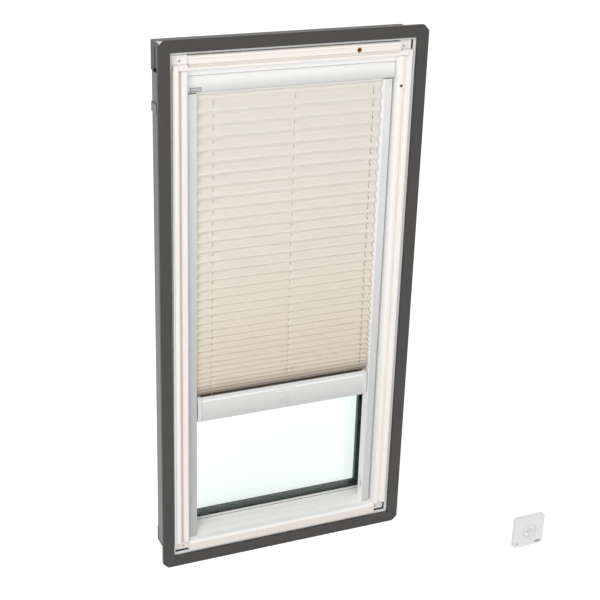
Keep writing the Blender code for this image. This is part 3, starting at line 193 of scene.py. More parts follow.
# Double glass: a thick room pane and a thin weather pane. The float glass is clear with a very
# faint green cast, and it carries a little dust and the slight wave of toughened glass.
def paint(code):
    """A colour written as it looks, such as #f0ede8, turned into the light that it gives back."""
    shades = [int(code[at:at + 2], 16) / 255 for at in (1, 3, 5)]
    return tuple([s / 12.92 if s <= 0.04045 else ((s + 0.055) / 1.055) ** 2.4
                  for s in shades] + [1.0])


def new_finish(name, sockets):
    """A Principled material; the sockets given are the same all over the surface."""
    finish = bpy.data.materials.new(name)
    finish.use_nodes = True
    shader = finish.node_tree.nodes["Principled BSDF"]
    feed(finish.node_tree, shader, sockets)
    return finish, finish.node_tree, shader


def effect(name, takes, gives):
    """A shader node group with named inputs and outputs."""
    tree = bpy.data.node_groups.new(name, "ShaderNodeTree")
    for label, value in takes.items():
        long = len(value) if hasattr(value, "__len__") else 1
        kind = {1: "Float", 3: "Vector", 4: "Color"}[long]
        socket = tree.interface.new_socket(label, in_out="INPUT",
                                           socket_type=f"NodeSocket{kind}")
        socket.default_value = value
    for label, kind in gives.items():
        tree.interface.new_socket(label, in_out="OUTPUT", socket_type=f"NodeSocket{kind}")
    taken = tree.nodes.new("NodeGroupInput").outputs
    given = tree.nodes.new("NodeGroupOutput").inputs
    return tree, taken, given


def use(tree, group, values):
    """A node group placed in a material with its own values."""
    return put(tree, "ShaderNodeGroup", values, node_tree=group).outputs


def laid_over(tree, share, under, over, blend="MIX"):
    """One colour laid over another by a share."""
    return put(tree, "ShaderNodeMix", {0: share, 6: under, 7: over},
               data_type="RGBA", blend_type=blend).outputs[2]


def noise(tree, place, scale, detail=3.0, rough=0.6):
    return put(tree, "ShaderNodeTexNoise", {"Vector": place, "Scale": scale, "Detail": detail,
                                            "Roughness": rough}).outputs["Fac"]


def spread(tree, value, low, high, least, most):
    """A value stretched from one range to another and kept inside it."""
    return put(tree, "ShaderNodeMapRange", {"Value": value, "From Min": low, "From Max": high,
                                            "To Min": least, "To Max": most}).outputs[0]


def object_place(tree):
    return put(tree, "ShaderNodeTexCoord").outputs["Object"]


def raised(tree, strength, distance, height, normal=None):
    """The surface's normal where a height raises it; it can start from another normal."""
    inputs = {"Strength": strength, "Distance": distance, "Height": height}
    if normal:
        inputs["Normal"] = normal
    return put(tree, "ShaderNodeBump", inputs).outputs[0]


def dress(finish, slot, *names):
    """The CAD nodes that one material covers get its finish."""
    for name in names:
        for at in range(len(nodes[name].data.materials)):
            nodes[name].data.materials[at] = finish


speckle, taken, given = effect(
    "fine_speckle",
    {"Color": (0.8, 0.8, 0.8, 1), "Shade": (0.7, 0.7, 0.7, 1), "Scale": 400.0, "Share": 0.5,
     "Roughness": 0.5, "Swing": 0.1},
    {"Color": "Color", "Roughness": "Float", "Height": "Float"})
fine = noise(speckle, object_place(speckle), taken["Scale"])
slow = noise(speckle, object_place(speckle), maths(speckle, "MULTIPLY", taken["Scale"], 0.03))
patch = spread(speckle, maths(speckle, "ADD", fine, slow), 0.75, 1.25, 0.0, taken["Share"])
speckle.links.new(laid_over(speckle, patch, taken["Color"], taken["Shade"]), given["Color"])
swing = maths(speckle, "MULTIPLY", maths(speckle, "SUBTRACT", fine, 0.5), taken["Swing"])
speckle.links.new(maths(speckle, "ADD", taken["Roughness"], swing), given["Roughness"])
speckle.links.new(fine, given["Height"])

clear, tree, shader = new_finish("float_glass", {
    "IOR": 1.45, "Transmission Weight": 1.0, "Metallic": 0.0})
film = use(tree, speckle, {"Color": paint("#f9fefc"), "Shade": paint("#f6fdfa"), "Scale": 90.0,
                           "Share": 0.6, "Roughness": 0.012, "Swing": 0.012})
wave = noise(tree, object_place(tree), 3.0, 1.0)
feed(tree, shader, {"Base Color": film["Color"], "Roughness": film["Roughness"],
                    "Normal": raised(tree, 0.02, 0.0005, wave)})
dress(clear, "glass", "room_pane", "weather_pane")


# Between the panes a dark spacer holds them apart, black sealant closes it round the outside,
# and a rubber gasket beds the unit on the pine.
def parts(tree, vector):
    """The X, Y and Z of a place or a direction."""
    return put(tree, "ShaderNodeSeparateXYZ", {0: vector}).outputs


def facing(tree):
    """How far the surface faces along X, Y and Z."""
    return parts(tree, put(tree, "ShaderNodeNewGeometry").outputs["Normal"])


soft_corner, taken, given = effect(
    "soft_corner", {"Radius": 0.0006, "Wear": 0.5}, {"Normal": "Vector", "Edge": "Float"})
rounded = put(soft_corner, "ShaderNodeBevel", {"Radius": taken["Radius"]}, samples=4).outputs[0]
sharp = put(soft_corner, "ShaderNodeNewGeometry").outputs["Normal"]
turned_by = put(soft_corner, "ShaderNodeVectorMath", {0: rounded, 1: sharp},
                operation="DOT_PRODUCT").outputs["Value"]
near_edge = spread(soft_corner, turned_by, 0.995, 0.86, 0.0, 1.0)
patchy = spread(soft_corner, noise(soft_corner, object_place(soft_corner), 160.0), 0.4, 0.62,
                0.2, 1.0)
worn = maths(soft_corner, "MULTIPLY", maths(soft_corner, "MULTIPLY", near_edge, patchy),
             taken["Wear"])
soft_corner.links.new(rounded, given["Normal"])
soft_corner.links.new(worn, given["Edge"])

settled_dust, taken, given = effect(
    "settled_dust", {"Color": (0.8, 0.8, 0.8, 1), "Dust": (0.6, 0.6, 0.6, 1), "Amount": 0.3},
    {"Color": "Color"})
lying = spread(settled_dust, facing(settled_dust)["Z"], 0.45, 1.0, 0.0, 1.0)
blown = spread(settled_dust, noise(settled_dust, object_place(settled_dust), 70.0, 5.0), 0.35,
               0.7, 0.2, 1.0)
share = maths(settled_dust, "MULTIPLY", maths(settled_dust, "MULTIPLY", lying, blown),
              taken["Amount"])
settled_dust.links.new(laid_over(settled_dust, share, taken["Color"], taken["Dust"]),
                       given["Color"])


def coated(name, color, shade, scale=500.0, share=0.5, roughness=0.5, swing=0.1, bump=0.06,
           corner=0.0006, worn="#ffffff", wear=0.0, dust=0.0, sockets=None):
    """A finish of one speckled coat, softened and worn at its edges, with dust on what lies."""
    finish, tree, shader = new_finish(name, sockets or {})
    coat = use(tree, speckle, {"Color": paint(color), "Shade": paint(shade), "Scale": scale,
                               "Share": share, "Roughness": roughness, "Swing": swing})
    edge = use(tree, soft_corner, {"Radius": corner, "Wear": wear})
    seen = laid_over(tree, edge["Edge"], coat["Color"], paint(worn))
    seen = use(tree, settled_dust, {"Color": seen, "Dust": paint("#c9c5bd"), "Amount": dust})
    feed(tree, shader, {
        "Base Color": seen["Color"], "Roughness": coat["Roughness"],
        "Normal": raised(tree, bump, 0.0004, coat["Height"], edge["Normal"])})
    return finish


dress(coated("dark_spacer", "#35443e", "#24312c", 900.0, 0.6, 0.38, 0.1, 0.05, 0.0004,
             sockets={"Metallic": 0.25}), "spacer_metal", "glass_spacer")
dress(coated("black_sealant", "#1d2322", "#2a3130", 240.0, 0.6, 0.62, 0.2, 0.25, 0.0006),
      "black_rubber", "edge_sealant", "glazing_gasket")


# White lacquered pine: two stiles, a head that laps over them and a sill between them. The
# grain shows faintly through the lacquer, along each member, and the arrises are softly rounded.
long_grain, taken, given = effect(
    "long_grain",
    {"Color": (0.9, 0.88, 0.85, 1), "Line": (0.8, 0.75, 0.7, 1), "Along": (300.0, 300.0, 6.0),
     "Share": 0.5},
    {"Color": "Color", "Height": "Float"})
drawn = put(long_grain, "ShaderNodeMapping", {"Vector": object_place(long_grain),
                                              "Scale": taken["Along"]}).outputs[0]
pores = noise(long_grain, drawn, 1.0, 5.0, 0.65)
rings = noise(long_grain, drawn, 0.12, 2.0, 0.5)
lines = spread(long_grain, maths(long_grain, "ADD", pores, rings), 0.8, 1.3, 0.0, taken["Share"])
long_grain.links.new(laid_over(long_grain, lines, taken["Color"], taken["Line"]), given["Color"])
long_grain.links.new(pores, given["Height"])


GROOVE_LEFT, GROOVE_RIGHT = -0.2542, -0.2480
GROOVE_FRONT, GROOVE_BACK = 0.0035, 0.0075
GROOVE_TOP = 1.1515
BLOCK_EDGE, BLOCK_FOOT = 0.2362, 1.1590
UPRIGHT_GRAIN, LEVEL_GRAIN = (340.0, 340.0, 7.0), (7.0, 340.0, 340.0)


def lacquered_pine(name, along, color="#f4f1ec", front=None):
    """White lacquered pine, with painted light that whitens the corner blocks and the sideways
    inner faces, and painted shade that darkens the floor of the left groove. The front can have
    its own colour."""
    finish, tree, shader = new_finish(name, {"Coat Weight": 0.12, "Coat Roughness": 0.25,
                                             "Specular IOR Level": 0.4})
    grain = use(tree, long_grain, {"Color": paint(color), "Line": paint("#e9ddcf"),
                                   "Along": along, "Share": 0.5})
    edge = use(tree, soft_corner, {"Radius": 0.0014, "Wear": 0.8})
    seen = laid_over(tree, edge["Edge"], grain["Color"], paint("#dcc4b4"))
    at = parts(tree, object_place(tree))
    turned_to = facing(tree)
    if front:
        seen = laid_over(tree, spread(tree, turned_to["Y"], -0.6, -0.9, 0.0, 1.0), seen,
                         paint(front))
    # Painted light: faces that turn sideways are painted whiter.
    side_wall_light = spread(tree, maths(tree, "ABSOLUTE", turned_to["X"]), 0.7, 0.95, 0.0, 1.0)
    seen = laid_over(tree, side_wall_light, seen, paint("#fefdfc"))
    # Painted shade: the floor of the left groove is painted darker.
    deep = maths(tree, "MULTIPLY",
                 spread(tree, at["Y"], GROOVE_FRONT, GROOVE_FRONT + 0.001, 0.0, 1.0),
                 spread(tree, at["Y"], GROOVE_BACK - 0.0006, GROOVE_BACK, 1.0, 0.0))
    band = maths(tree, "MULTIPLY",
                 spread(tree, at["X"], GROOVE_LEFT, GROOVE_LEFT + 0.0012, 0.0, 1.0),
                 spread(tree, at["X"], GROOVE_RIGHT - 0.0014, GROOVE_RIGHT, 1.0, 0.0))
    groove_shade = maths(tree, "MULTIPLY", maths(tree, "MULTIPLY", deep, band),
                   spread(tree, at["Z"], GROOVE_TOP, GROOVE_TOP + 0.001, 1.0, 0.0))
    seen = laid_over(tree, groove_shade, seen, paint("#bfafa6"))
    # Painted light: the recessed corner blocks are painted whiter.
    far = maths(tree, "ABSOLUTE", at["X"])
    corner_block_light = maths(tree, "MULTIPLY",
                  spread(tree, far, BLOCK_EDGE, BLOCK_EDGE + 0.0004, 0.0, 1.0),
                  spread(tree, at["Z"], BLOCK_FOOT, BLOCK_FOOT + 0.0004, 0.0, 1.0))
    seen = laid_over(tree, corner_block_light, seen, paint("#fbf9f7"))
    seen = use(tree, settled_dust, {"Color": seen, "Dust": paint("#dfdad2"), "Amount": 0.12})
    feed(tree, shader, {
        "Base Color": seen["Color"],
        "Roughness": spread(tree, grain["Height"], 0.3, 0.7, 0.36, 0.48),
        "Normal": raised(tree, 0.12, 0.0003, grain["Height"], edge["Normal"])})
    return finish


dress(lacquered_pine("pine_upright", UPRIGHT_GRAIN), "white_pine",
      "pine_stile_left", "pine_stile_right")
dress(lacquered_pine("pine_level", LEVEL_GRAIN), "white_pine", "pine_head")
# The sill is a lit copy: its top is painted a lighter, greener white as painted light, and its
# front a darker tone as painted shade.
dress(lacquered_pine("pine_sill", LEVEL_GRAIN, "#fafcfa", "#e9e1d9"), "white_pine",
      "pine_sill")


# Small steel screws draw the frame's corners together. Each sits a little below the lacquer
# in its countersunk hole, and has a cross for the driver.
def turned(name, profile, steps, place):
    """A mesh turned round its own Z from (radius, height) points, set at a place."""
    work = bmesh.new()
    rows = []
    for radius, height in profile:
        count = steps if radius > 1e-7 else 1
        rows.append([work.verts.new((radius * math.cos(math.tau * at / steps),
                                     radius * math.sin(math.tau * at / steps), height))
                     for at in range(count)])
    for low, high in zip(rows, rows[1:]):
        for at in range(steps):
            corners = [low[at % len(low)], low[(at + 1) % steps % len(low)],
                       high[(at + 1) % steps % len(high)], high[at % len(high)]]
            corners = list(dict.fromkeys(corners))
            if len(corners) > 2:
                work.faces.new(corners)
    bmesh.ops.recalc_face_normals(work, faces=work.faces)
    mesh = mesh_from(work, name, place)
    mesh.shade_smooth()
    mesh.set_sharp_from_angle(angle=math.radians(35))
    return mesh


def slab(name, outline, thick, place):
    """A flat shape, drawn anticlockwise in XY, made thick upwards from Z 0, set at a place."""
    work = bmesh.new()
    face = work.faces.new([work.verts.new((x, y, 0)) for x, y in outline])
    top = bmesh.ops.extrude_face_region(work, geom=[face])["geom"]
    bmesh.ops.translate(work, vec=(0, 0, thick),
                        verts=[part for part in top if isinstance(part, bmesh.types.BMVert)])
    bmesh.ops.recalc_face_normals(work, faces=work.faces)
    return mesh_from(work, name, place)


def piece_of(name, mesh, finish, body):
    """A piece of the scene with its finish, which moves with a body."""
    mesh.materials.append(finish)
    piece = stand(name, mesh)
    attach(piece, body)
    return piece


def carve(piece, mesh):
    """Takes a shape out of a piece."""
    tool = stand("tool", mesh)
    cut = piece.modifiers.new("carve", "BOOLEAN")
    cut.operation = "DIFFERENCE"
    cut.solver = "EXACT"
    cut.object = tool
    bpy.context.view_layer.update()
    seen = piece.evaluated_get(bpy.context.evaluated_depsgraph_get())
    carved = bpy.data.meshes.new_from_object(seen)
    piece.modifiers.remove(cut)
    piece.data = carved
    bpy.data.objects.remove(tool)


def facing_room(x, y, z):
    """Turns a shape's own Z to point into the room, at a place."""
    return Matrix.Translation((x, y, z)) @ Matrix.Rotation(math.radians(90), 4, "X")


def cross_outline(reach, half):
    quarter = [(reach, -half), (reach, half), (half, half)]
    turns = [(1, 0), (0, 1), (-1, 0), (0, -1)]
    return [(c * x - s * y, s * x + c * y) for c, s in turns for x, y in quarter]


SCREW_HEAD = 0.00275
SCREW_SHANK = 0.0016
SCREW_LENGTH = 0.014
SCREW_DEPTH = 0.0155
CROSS_REACH, CROSS_HALF, CROSS_DEEP = 0.0015, 0.00032, 0.0009
HEAD_SCREW_INSET, HEAD_SCREW_DROP = 0.0165, 0.0128
FOOT_SCREW_INSET, FOOT_SCREW_RISE = 0.0205, 0.008
steel = coated("zinc_steel", "#a9a8a4", "#87857f", 1400.0, 0.6, 0.34, 0.12, 0.05, 0.0002,
               "#d9d8d4", 0.6, sockets={"Metallic": 0.85})


def countersunk_screw(label, place):
    profile = [(0, 0.0001), (SCREW_HEAD * 0.6, 0), (SCREW_HEAD, -0.00015),
               (SCREW_SHANK, -0.0013), (SCREW_SHANK, 0.002 - SCREW_LENGTH), (0, -SCREW_LENGTH)]
    screw = piece_of(label, turned(label, profile, 20, place), steel, "window")
    carve(screw, slab("cross", cross_outline(CROSS_REACH, CROSS_HALF), 0.002,
                      place @ Matrix.Translation((0, 0, -CROSS_DEEP))))


head_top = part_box("pine_head")[1].z
stile_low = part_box("pine_stile_left")[0]
for side_name, side in (("left", 1), ("right", -1)):
    countersunk_screw(f"head_screw_{side_name}", facing_room(
        side * (stile_low.x + HEAD_SCREW_INSET), SCREW_DEPTH, head_top - HEAD_SCREW_DROP))
    countersunk_screw(f"foot_screw_{side_name}", facing_room(
        side * (stile_low.x + FOOT_SCREW_INSET), SCREW_DEPTH, stile_low.z + FOOT_SCREW_RISE))


# Two drillings let the blind's cable out of the pine. The lacquer stops at their edge, so the
# raw brown wood shows inside: each is lined here with a short sleeve of bare, dark end grain.
raw_wood, tree, shader = new_finish("bare_pine", {"Roughness": 0.8})
grain = use(tree, long_grain, {"Color": paint("#cf9a5c"), "Line": paint("#8f6233"),
                               "Along": (900.0, 60.0, 900.0), "Share": 0.8})
feed(tree, shader, {"Base Color": grain["Color"],
                    "Normal": raised(tree, 0.4, 0.0004, grain["Height"])})
SLEEVE_LENGTH = 0.0295
SLEEVE_WALL = 0.0007
SLEEVE_FLOOR = 0.0005
for member, x, z, radius in (("head", 0.139, 1.1665, 0.0052),
                             ("stile", 0.2415, 1.0835, 0.0033)):
    bore = radius - SLEEVE_WALL
    inside = SLEEVE_FLOOR - SLEEVE_LENGTH
    profile = [(0, -SLEEVE_LENGTH), (radius, -SLEEVE_LENGTH), (radius, -0.0011),
               (bore, -0.0009), (bore, inside), (0, inside)]
    piece_of(f"{member}_cable_sleeve", turned("sleeve", profile, 24, facing_room(x, 0, z)),
             raw_wood, "window")


# Dark coated sheet: four flanges that lap at the corners, and the top and bottom covers behind
# them. The factory coat is fine and matt, rubbed paler along the folds and clipped corners.
dress(coated("dark_coated_sheet", "#3e3c3a", "#343130", 650.0, 0.6, 0.48, 0.12, 0.08, 0.0008,
             "#827c75", 0.4, 0.12, {"Metallic": 0.1}),
      "dark_sheet", "flange_left", "flange_right", "flange_top", "flange_bottom", "top_cover",
      "bottom_cover")

# The side covers are a paler grey sheet, bent round the pine from behind. A small clip of dull
# zinc on each holds a fixing bracket.
dress(coated("grey_coated_sheet", "#6a6b71", "#5d5e64", 500.0, 0.6, 0.42, 0.1, 0.06, 0.0008,
             "#a9aaae", 0.5, 0.12, {"Metallic": 0.3}), "grey_sheet",
      "side_cover_left", "side_cover_right")
dress(coated("dull_zinc", "#7a797b", "#6b6a6d", 1400.0, 0.6, 0.45, 0.12, 0.05, 0.0004,
             "#bdbcbc", 0.6, sockets={"Metallic": 0.5}),
      "zinc_steel", "side_clip_left", "side_clip_right")

# Where the top cover's corner is folded, the coat has come off the end of the fold, and a small
# triangle of bare metal shows on its top.
FOLD_OUTLINE = ((0.2796, 0.0744), (0.2820, 0.0438), (0.2642, 0.0720))
FOLD_THICK = 0.0003
cover_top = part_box("top_cover")[1].z
bare_metal = coated("bare_metal", "#d2cfcd", "#c2bfbd", 1200.0, 0.5, 0.4, 0.1, 0.04, 0.0002,
                    "#e6e4e2", 0.3, sockets={"Metallic": 0.3})
for side_name, side in (("left", -1), ("right", 1)):
    corner = [(side * x, y) for x, y in FOLD_OUTLINE][::-side]
    fold = slab("fold", corner, FOLD_THICK, Matrix.Translation((0, 0, cover_top - 0.0001)))
    piece_of(f"cover_fold_{side_name}", fold, bare_metal, "window")

# Between pine and flange a pale rubber seal closes the gap. Along the left stile its thin lip
# folds up over the gap, and widens towards the foot.
LIP_OUTLINE = [(-0.2717, 0.034), (-0.2667, 0.034), (-0.2667, 1.150), (-0.2684, 1.150)]
LIP_THICK = 0.0012
LIP_DEPTH = 0.0034
dress(coated("pale_rubber", "#f3f5f3", "#e6eae7", 380.0, 0.5, 0.55, 0.1, 0.1, 0.0008),
      "pale_seal", "gap_seal")
piece_of("seal_lip", slab("lip", LIP_OUTLINE, LIP_THICK, facing_room(0, LIP_DEPTH, 0)),
         coated("seal_lip", "#dfe4dc", "#d3d9d0", 380.0, 0.5, 0.55, 0.1, 0.1, 0.0004),
         "window")

# Dark insulating foam is cut to a ring behind the seal, and the cut faces show their open cells.
# Its faces towards the room, deep in the gap beside the pine, are painted pale as painted light.
foam, tree, shader = new_finish("cut_foam", {"Roughness": 0.9, "Specular IOR Level": 0.1})
cells = use(tree, speckle, {"Color": paint("#232324"), "Shade": paint("#161617"), "Scale": 900.0,
                            "Share": 0.8})
# Painted light: faces towards the room are painted pale.
pale_front_light = spread(tree, facing(tree)["Y"], -0.5, -0.9, 0.0, 1.0)
feed(tree, shader, {"Base Color": laid_over(tree, pale_front_light, cells["Color"], paint("#e3e6e0")),
                    "Normal": raised(tree, 0.5, 0.0004, cells["Height"])})
dress(foam, "foam", "foam_insulation")


# White aluminium: the angle under the pine head and the headrail that snaps on to it. The
# extrusions are powder coated, and their long die lines show faintly through the coat.
ALONG_LEVEL, ALONG_UPRIGHT, NOT_DRAWN = (5.0, 500.0, 500.0), (500.0, 500.0, 5.0), (300.0,) * 3
EDGE_GAP_SHADE_BEGINS = 0.2353


def white_extrusion(name, color, shade, along, roughness=0.36, painted_side_light=None, foot=None,
                    joint=None, line=None):
    """Powder-coated aluminium. It can have painted light that whitens its sideways faces, painted
    shade that greys it towards its foot, a painted dark line of shade far from the middle, and a
    painted highlight line."""
    finish, tree, shader = new_finish(name, {"Coat Weight": 0.1, "Coat Roughness": 0.2})
    coat = use(tree, speckle, {"Color": paint(color), "Shade": paint(shade), "Scale": 900.0,
                               "Share": 0.4, "Roughness": roughness, "Swing": 0.08})
    die = use(tree, long_grain, {"Color": coat["Color"], "Line": paint(shade), "Along": along,
                                 "Share": 0.3})
    edge = use(tree, soft_corner, {"Radius": 0.0006, "Wear": 0.25})
    seen = die["Color"]
    at = parts(tree, object_place(tree))
    # Painted shade: the colour greys towards the foot.
    if foot:
        tone, high, low = foot
        seen = laid_over(tree, spread(tree, at["Z"], high, low, 0.0, 1.0), seen, paint(tone))
    # Painted highlight: a brighter band along one height.
    if line:
        tone, middle, half = line
        off = maths(tree, "ABSOLUTE", maths(tree, "SUBTRACT", at["Z"], middle))
        seen = laid_over(tree, spread(tree, off, half, 0.5 * half, 0.0, 1.0), seen, paint(tone))
    # Painted light: faces that turn sideways get a whiter colour.
    if painted_side_light:
        aside = spread(tree, maths(tree, "ABSOLUTE", facing(tree)["X"]), 0.8, 0.95, 0.0, 1.0)
        seen = laid_over(tree, aside, seen, paint(painted_side_light))
    seen = laid_over(tree, edge["Edge"], seen, paint("#ffffff"))
    # Painted shade: a dark line where the part meets the stile, far from the middle.
    if joint:
        beyond = spread(tree, maths(tree, "ABSOLUTE", at["X"]), EDGE_GAP_SHADE_BEGINS,
                        EDGE_GAP_SHADE_BEGINS + 0.0003, 0.0, 1.0)
        seen = laid_over(tree, beyond, seen, paint(joint))
    seen = use(tree, settled_dust, {"Color": seen, "Dust": paint("#cfcac0"), "Amount": 0.1})
    feed(tree, shader, {
        "Base Color": seen["Color"], "Roughness": coat["Roughness"],
        "Normal": raised(tree, 0.05, 0.0002, die["Height"], edge["Normal"])})
    return finish


# The headrail's front and its end caps are painted grey towards the foot as painted shade, and
# the end caps carry a painted dark line of shade where they meet the stile.
rail_low, rail_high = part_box("headrail")
headrail_foot_shade = ("#cdcdcc", rail_high.z - 0.012, rail_low.z)
dress(white_extrusion("white_extrusion_level", "#f4f4f3", "#e8e8e6", ALONG_LEVEL,
                      foot=headrail_foot_shade), "white_aluminium", "headrail", "headrail_back")
# Painted light: the angle, shaded under the pine head, is painted a purer white than the
# headrail.
dress(white_extrusion("white_angle", "#ffffff", "#f6f6f5", ALONG_LEVEL),
      "white_aluminium", "fixing_angle")
dress(white_extrusion("end_cap_white", "#ececea", "#e0e0dd", NOT_DRAWN, 0.42, foot=headrail_foot_shade,
                      joint="#85827e"), "white_plastic", "end_cap_left", "end_cap_right")
dress(steel, "zinc_steel", "headrail_clip_left", "headrail_clip_middle", "headrail_clip_right")


# A small bare plate is pressed into the left end of the headrail's front. It has a thin raised
# border and nothing on it.
def rounded_outline(width, height, radius, steps=5):
    points = []
    for turn, (x, y) in enumerate(((1, -1), (1, 1), (-1, 1), (-1, -1))):
        for step in range(steps + 1):
            angle = math.radians(90 * (turn - 1) + 90 * step / steps)
            points.append((x * (width / 2 - radius) + radius * math.cos(angle),
                           y * (height / 2 - radius) + radius * math.sin(angle)))
    return points


BOW_RADIUS = 0.055
PLATE_X = -0.2140
PLATE_DROP = 0.0105
PLATE_WIDTH, PLATE_HEIGHT, PLATE_BORDER = 0.0245, 0.0085, 0.0012
PLATE_SUNK = 0.0003
lean = math.asin(PLATE_DROP / BOW_RADIUS)
plate_place = (Matrix.Translation((PLATE_X, rail_low.y + BOW_RADIUS * (1 - math.cos(lean)),
                                   (rail_low.z + rail_high.z) / 2 - PLATE_DROP))
               @ Matrix.Rotation(math.radians(90) + lean, 4, "X"))
plate_finish = coated("plate_white", "#c4c4c2", "#b8b8b5", 900.0, 0.4, 0.3, 0.08, 0.04, 0.0002,
                      "#ffffff", 0.3)
border_finish = coated("plate_border", "#8b8b89", "#7b7b79", 900.0, 0.4, 0.35, 0.08, 0.04, 0.0002,
                       "#b5b5b3", 0.5)
plate_back = plate_place @ Matrix.Translation((0, 0, -PLATE_SUNK))
plate_outline = rounded_outline(PLATE_WIDTH - 2 * PLATE_BORDER,
                                PLATE_HEIGHT - 2 * PLATE_BORDER, 0.0008)
border = piece_of("headrail_plate_border",
                  slab("headrail_plate_border",
                       rounded_outline(PLATE_WIDTH, PLATE_HEIGHT, PLATE_BORDER), 0.0011,
                       plate_back), border_finish, "window")
carve(border, slab("window", plate_outline, 0.004,
                   plate_place @ Matrix.Translation((0, 0, -0.002))))
piece_of("headrail_plate", slab("headrail_plate", plate_outline, 0.0007, plate_back),
         plate_finish, "window")

# Four countersunk screws go up through the angle into the pine head: one near each end, and
# one on each side of the middle.
ANGLE_SCREWS = {"left_outer": -0.207, "left_inner": -0.050,
                "right_inner": 0.050, "right_outer": 0.207}
ANGLE_SCREW_SINK = 0.0018
angle_low, angle_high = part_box("fixing_angle")
for screw_name, x in ANGLE_SCREWS.items():
    countersunk_screw(f"angle_screw_{screw_name}", Matrix.Translation(
        (x, (angle_low.y + angle_high.y) / 2, angle_high.z - ANGLE_SCREW_SINK))
        @ Matrix.Rotation(math.pi, 4, "X"))


# Inside the headrail: the hexagonal shaft and its three cord spools in their cradles, the
# gearbox, the motor, the battery and the board. They are plain moulded, turned and drawn parts.
dress(steel, "zinc_steel", "drive_shaft", "motor")
dress(coated("grey_moulding", "#7d8083", "#6d7073", 600.0, 0.5, 0.5, 0.1, 0.08, 0.0004,
             "#a3a5a7", 0.3), "grey_plastic", "cord_spool_left", "cord_spool_middle",
      "cord_spool_right", "spool_cradle_left", "spool_cradle_middle", "spool_cradle_right",
      "gearbox", "battery_pack")
board, tree, shader = new_finish("circuit_board", {"Coat Weight": 0.3})
track = put(tree, "ShaderNodeTexBrick", {
    "Vector": object_place(tree), "Scale": 90.0, "Color1": paint("#1d5a3a"),
    "Color2": paint("#256b46"), "Mortar": paint("#b3874a"), "Mortar Size": 0.03})
feed(tree, shader, {"Base Color": track.outputs["Color"],
                    "Roughness": spread(tree, track.outputs["Fac"], 0.0, 1.0, 0.45, 0.25)})
dress(board, "circuit_board", "control_board")

# A strip of solar cells on the back of the headrail charges the battery through the glass. Fine
# silver fingers run across each dark blue cell.
cells, tree, shader = new_finish("solar_cells", {"Coat Weight": 0.6, "Coat Roughness": 0.06})
lying_cells = put(tree, "ShaderNodeMapping", {"Vector": object_place(tree),
                                              "Rotation": (math.radians(90), 0, 0)})
cell = put(tree, "ShaderNodeTexBrick", {
    "Vector": lying_cells.outputs[0], "Scale": 1.0, "Color1": paint("#141c33"),
    "Color2": paint("#1b2540"), "Mortar": paint("#a8abb2"), "Mortar Size": 0.0004,
    "Brick Width": 0.038, "Row Height": 0.0235}, offset=0.0)
fingers = put(tree, "ShaderNodeTexWave", {"Vector": object_place(tree), "Scale": 160.0})
lined = laid_over(tree, spread(tree, fingers.outputs["Fac"], 0.93, 1.0, 0.0, 0.5),
                  cell.outputs["Color"], paint("#8d93a3"))
smear = noise(tree, object_place(tree), 300.0)
feed(tree, shader, {"Base Color": lined, "Roughness": spread(tree, smear, 0.3, 0.7, 0.18, 0.3)})
dress(cells, "solar_cells", "solar_strip")


# The side rails are white channels, open to the glass, that guide the ends of the bottom bar. A
# thin moulded plug closes each rail's top. Near each rail's foot a thin dark sheet on its inner
# face is painted shade for the narrow slot that takes the screw holding the rail to the stile.
RAIL_WIDTH = 0.0185
RAIL_WALL = 0.0017
PLUG_THICK, PLUG_SUNK, PLUG_BACK = 0.0012, 0.0014, 0.0004
SLOT_WIDTH, SLOT_LENGTH, SLOT_THICK = 0.0016, 0.019, 0.0004
SLOT_DEPTH, SLOT_HEIGHT = 0.0115, 0.043
moulded_white = coated("moulded_white", "#ececea", "#e0e0dd", 700.0, 0.4, 0.42, 0.08, 0.05,
                       0.0005, "#ffffff", 0.3, 0.1)
dark_gasket_and_shade = coated("dark_gasket_and_shade", "#4b4c4c", "#3c3d3d", 900.0, 0.5, 0.6, 0.1, 0.05, 0.0002)
facing_aside = Matrix.Rotation(math.radians(90), 4, "Y") @ Matrix.Rotation(
    math.radians(90), 4, "Z")
# Painted light and shade: each rail is painted darker towards its foot, whiter on its sideways
# faces and with a dark line along its outer edge, and the left rail is painted a little darker
# than the right.
for side_name, side, color, foot in (("left", -1, "#dfdfde", "#b9bab9"),
                                     ("right", 1, "#e4e4e4", "#cacbcb")):
    dress(white_extrusion(f"white_rail_{side_name}", color, "#d3d3d1", ALONG_UPRIGHT, 0.34,
                          "#ffffff", (foot, 1.05, 0.35), "#77736d"),
          "white_aluminium", f"side_rail_{side_name}")
    low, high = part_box(f"side_rail_{side_name}")
    inner = side * min(abs(low.x), abs(high.x))
    plug = slab("plug", rounded_outline(RAIL_WIDTH - 2 * RAIL_WALL,
                                        high.y - low.y - 2 * RAIL_WALL - 0.0012, 0.0008),
                PLUG_THICK, Matrix.Translation((inner + side * RAIL_WIDTH / 2,
                                                (low.y + high.y) / 2 + PLUG_BACK,
                                                high.z - PLUG_SUNK)))
    piece_of(f"rail_plug_{side_name}", plug, moulded_white, "window")
    # Painted shade: a thin dark sheet on the rail's inner face for the slot.
    slot = slab("slot", rounded_outline(SLOT_WIDTH, SLOT_LENGTH, 0.0007), SLOT_THICK,
                Matrix.Translation((inner - side * 0.0002, low.y + SLOT_DEPTH,
                                    low.z + SLOT_HEIGHT))
                @ facing_aside @ Matrix.Translation((0, 0, -SLOT_THICK / 2)))
    piece_of(f"rail_slot_{side_name}", slot, dark_gasket_and_shade, "window")


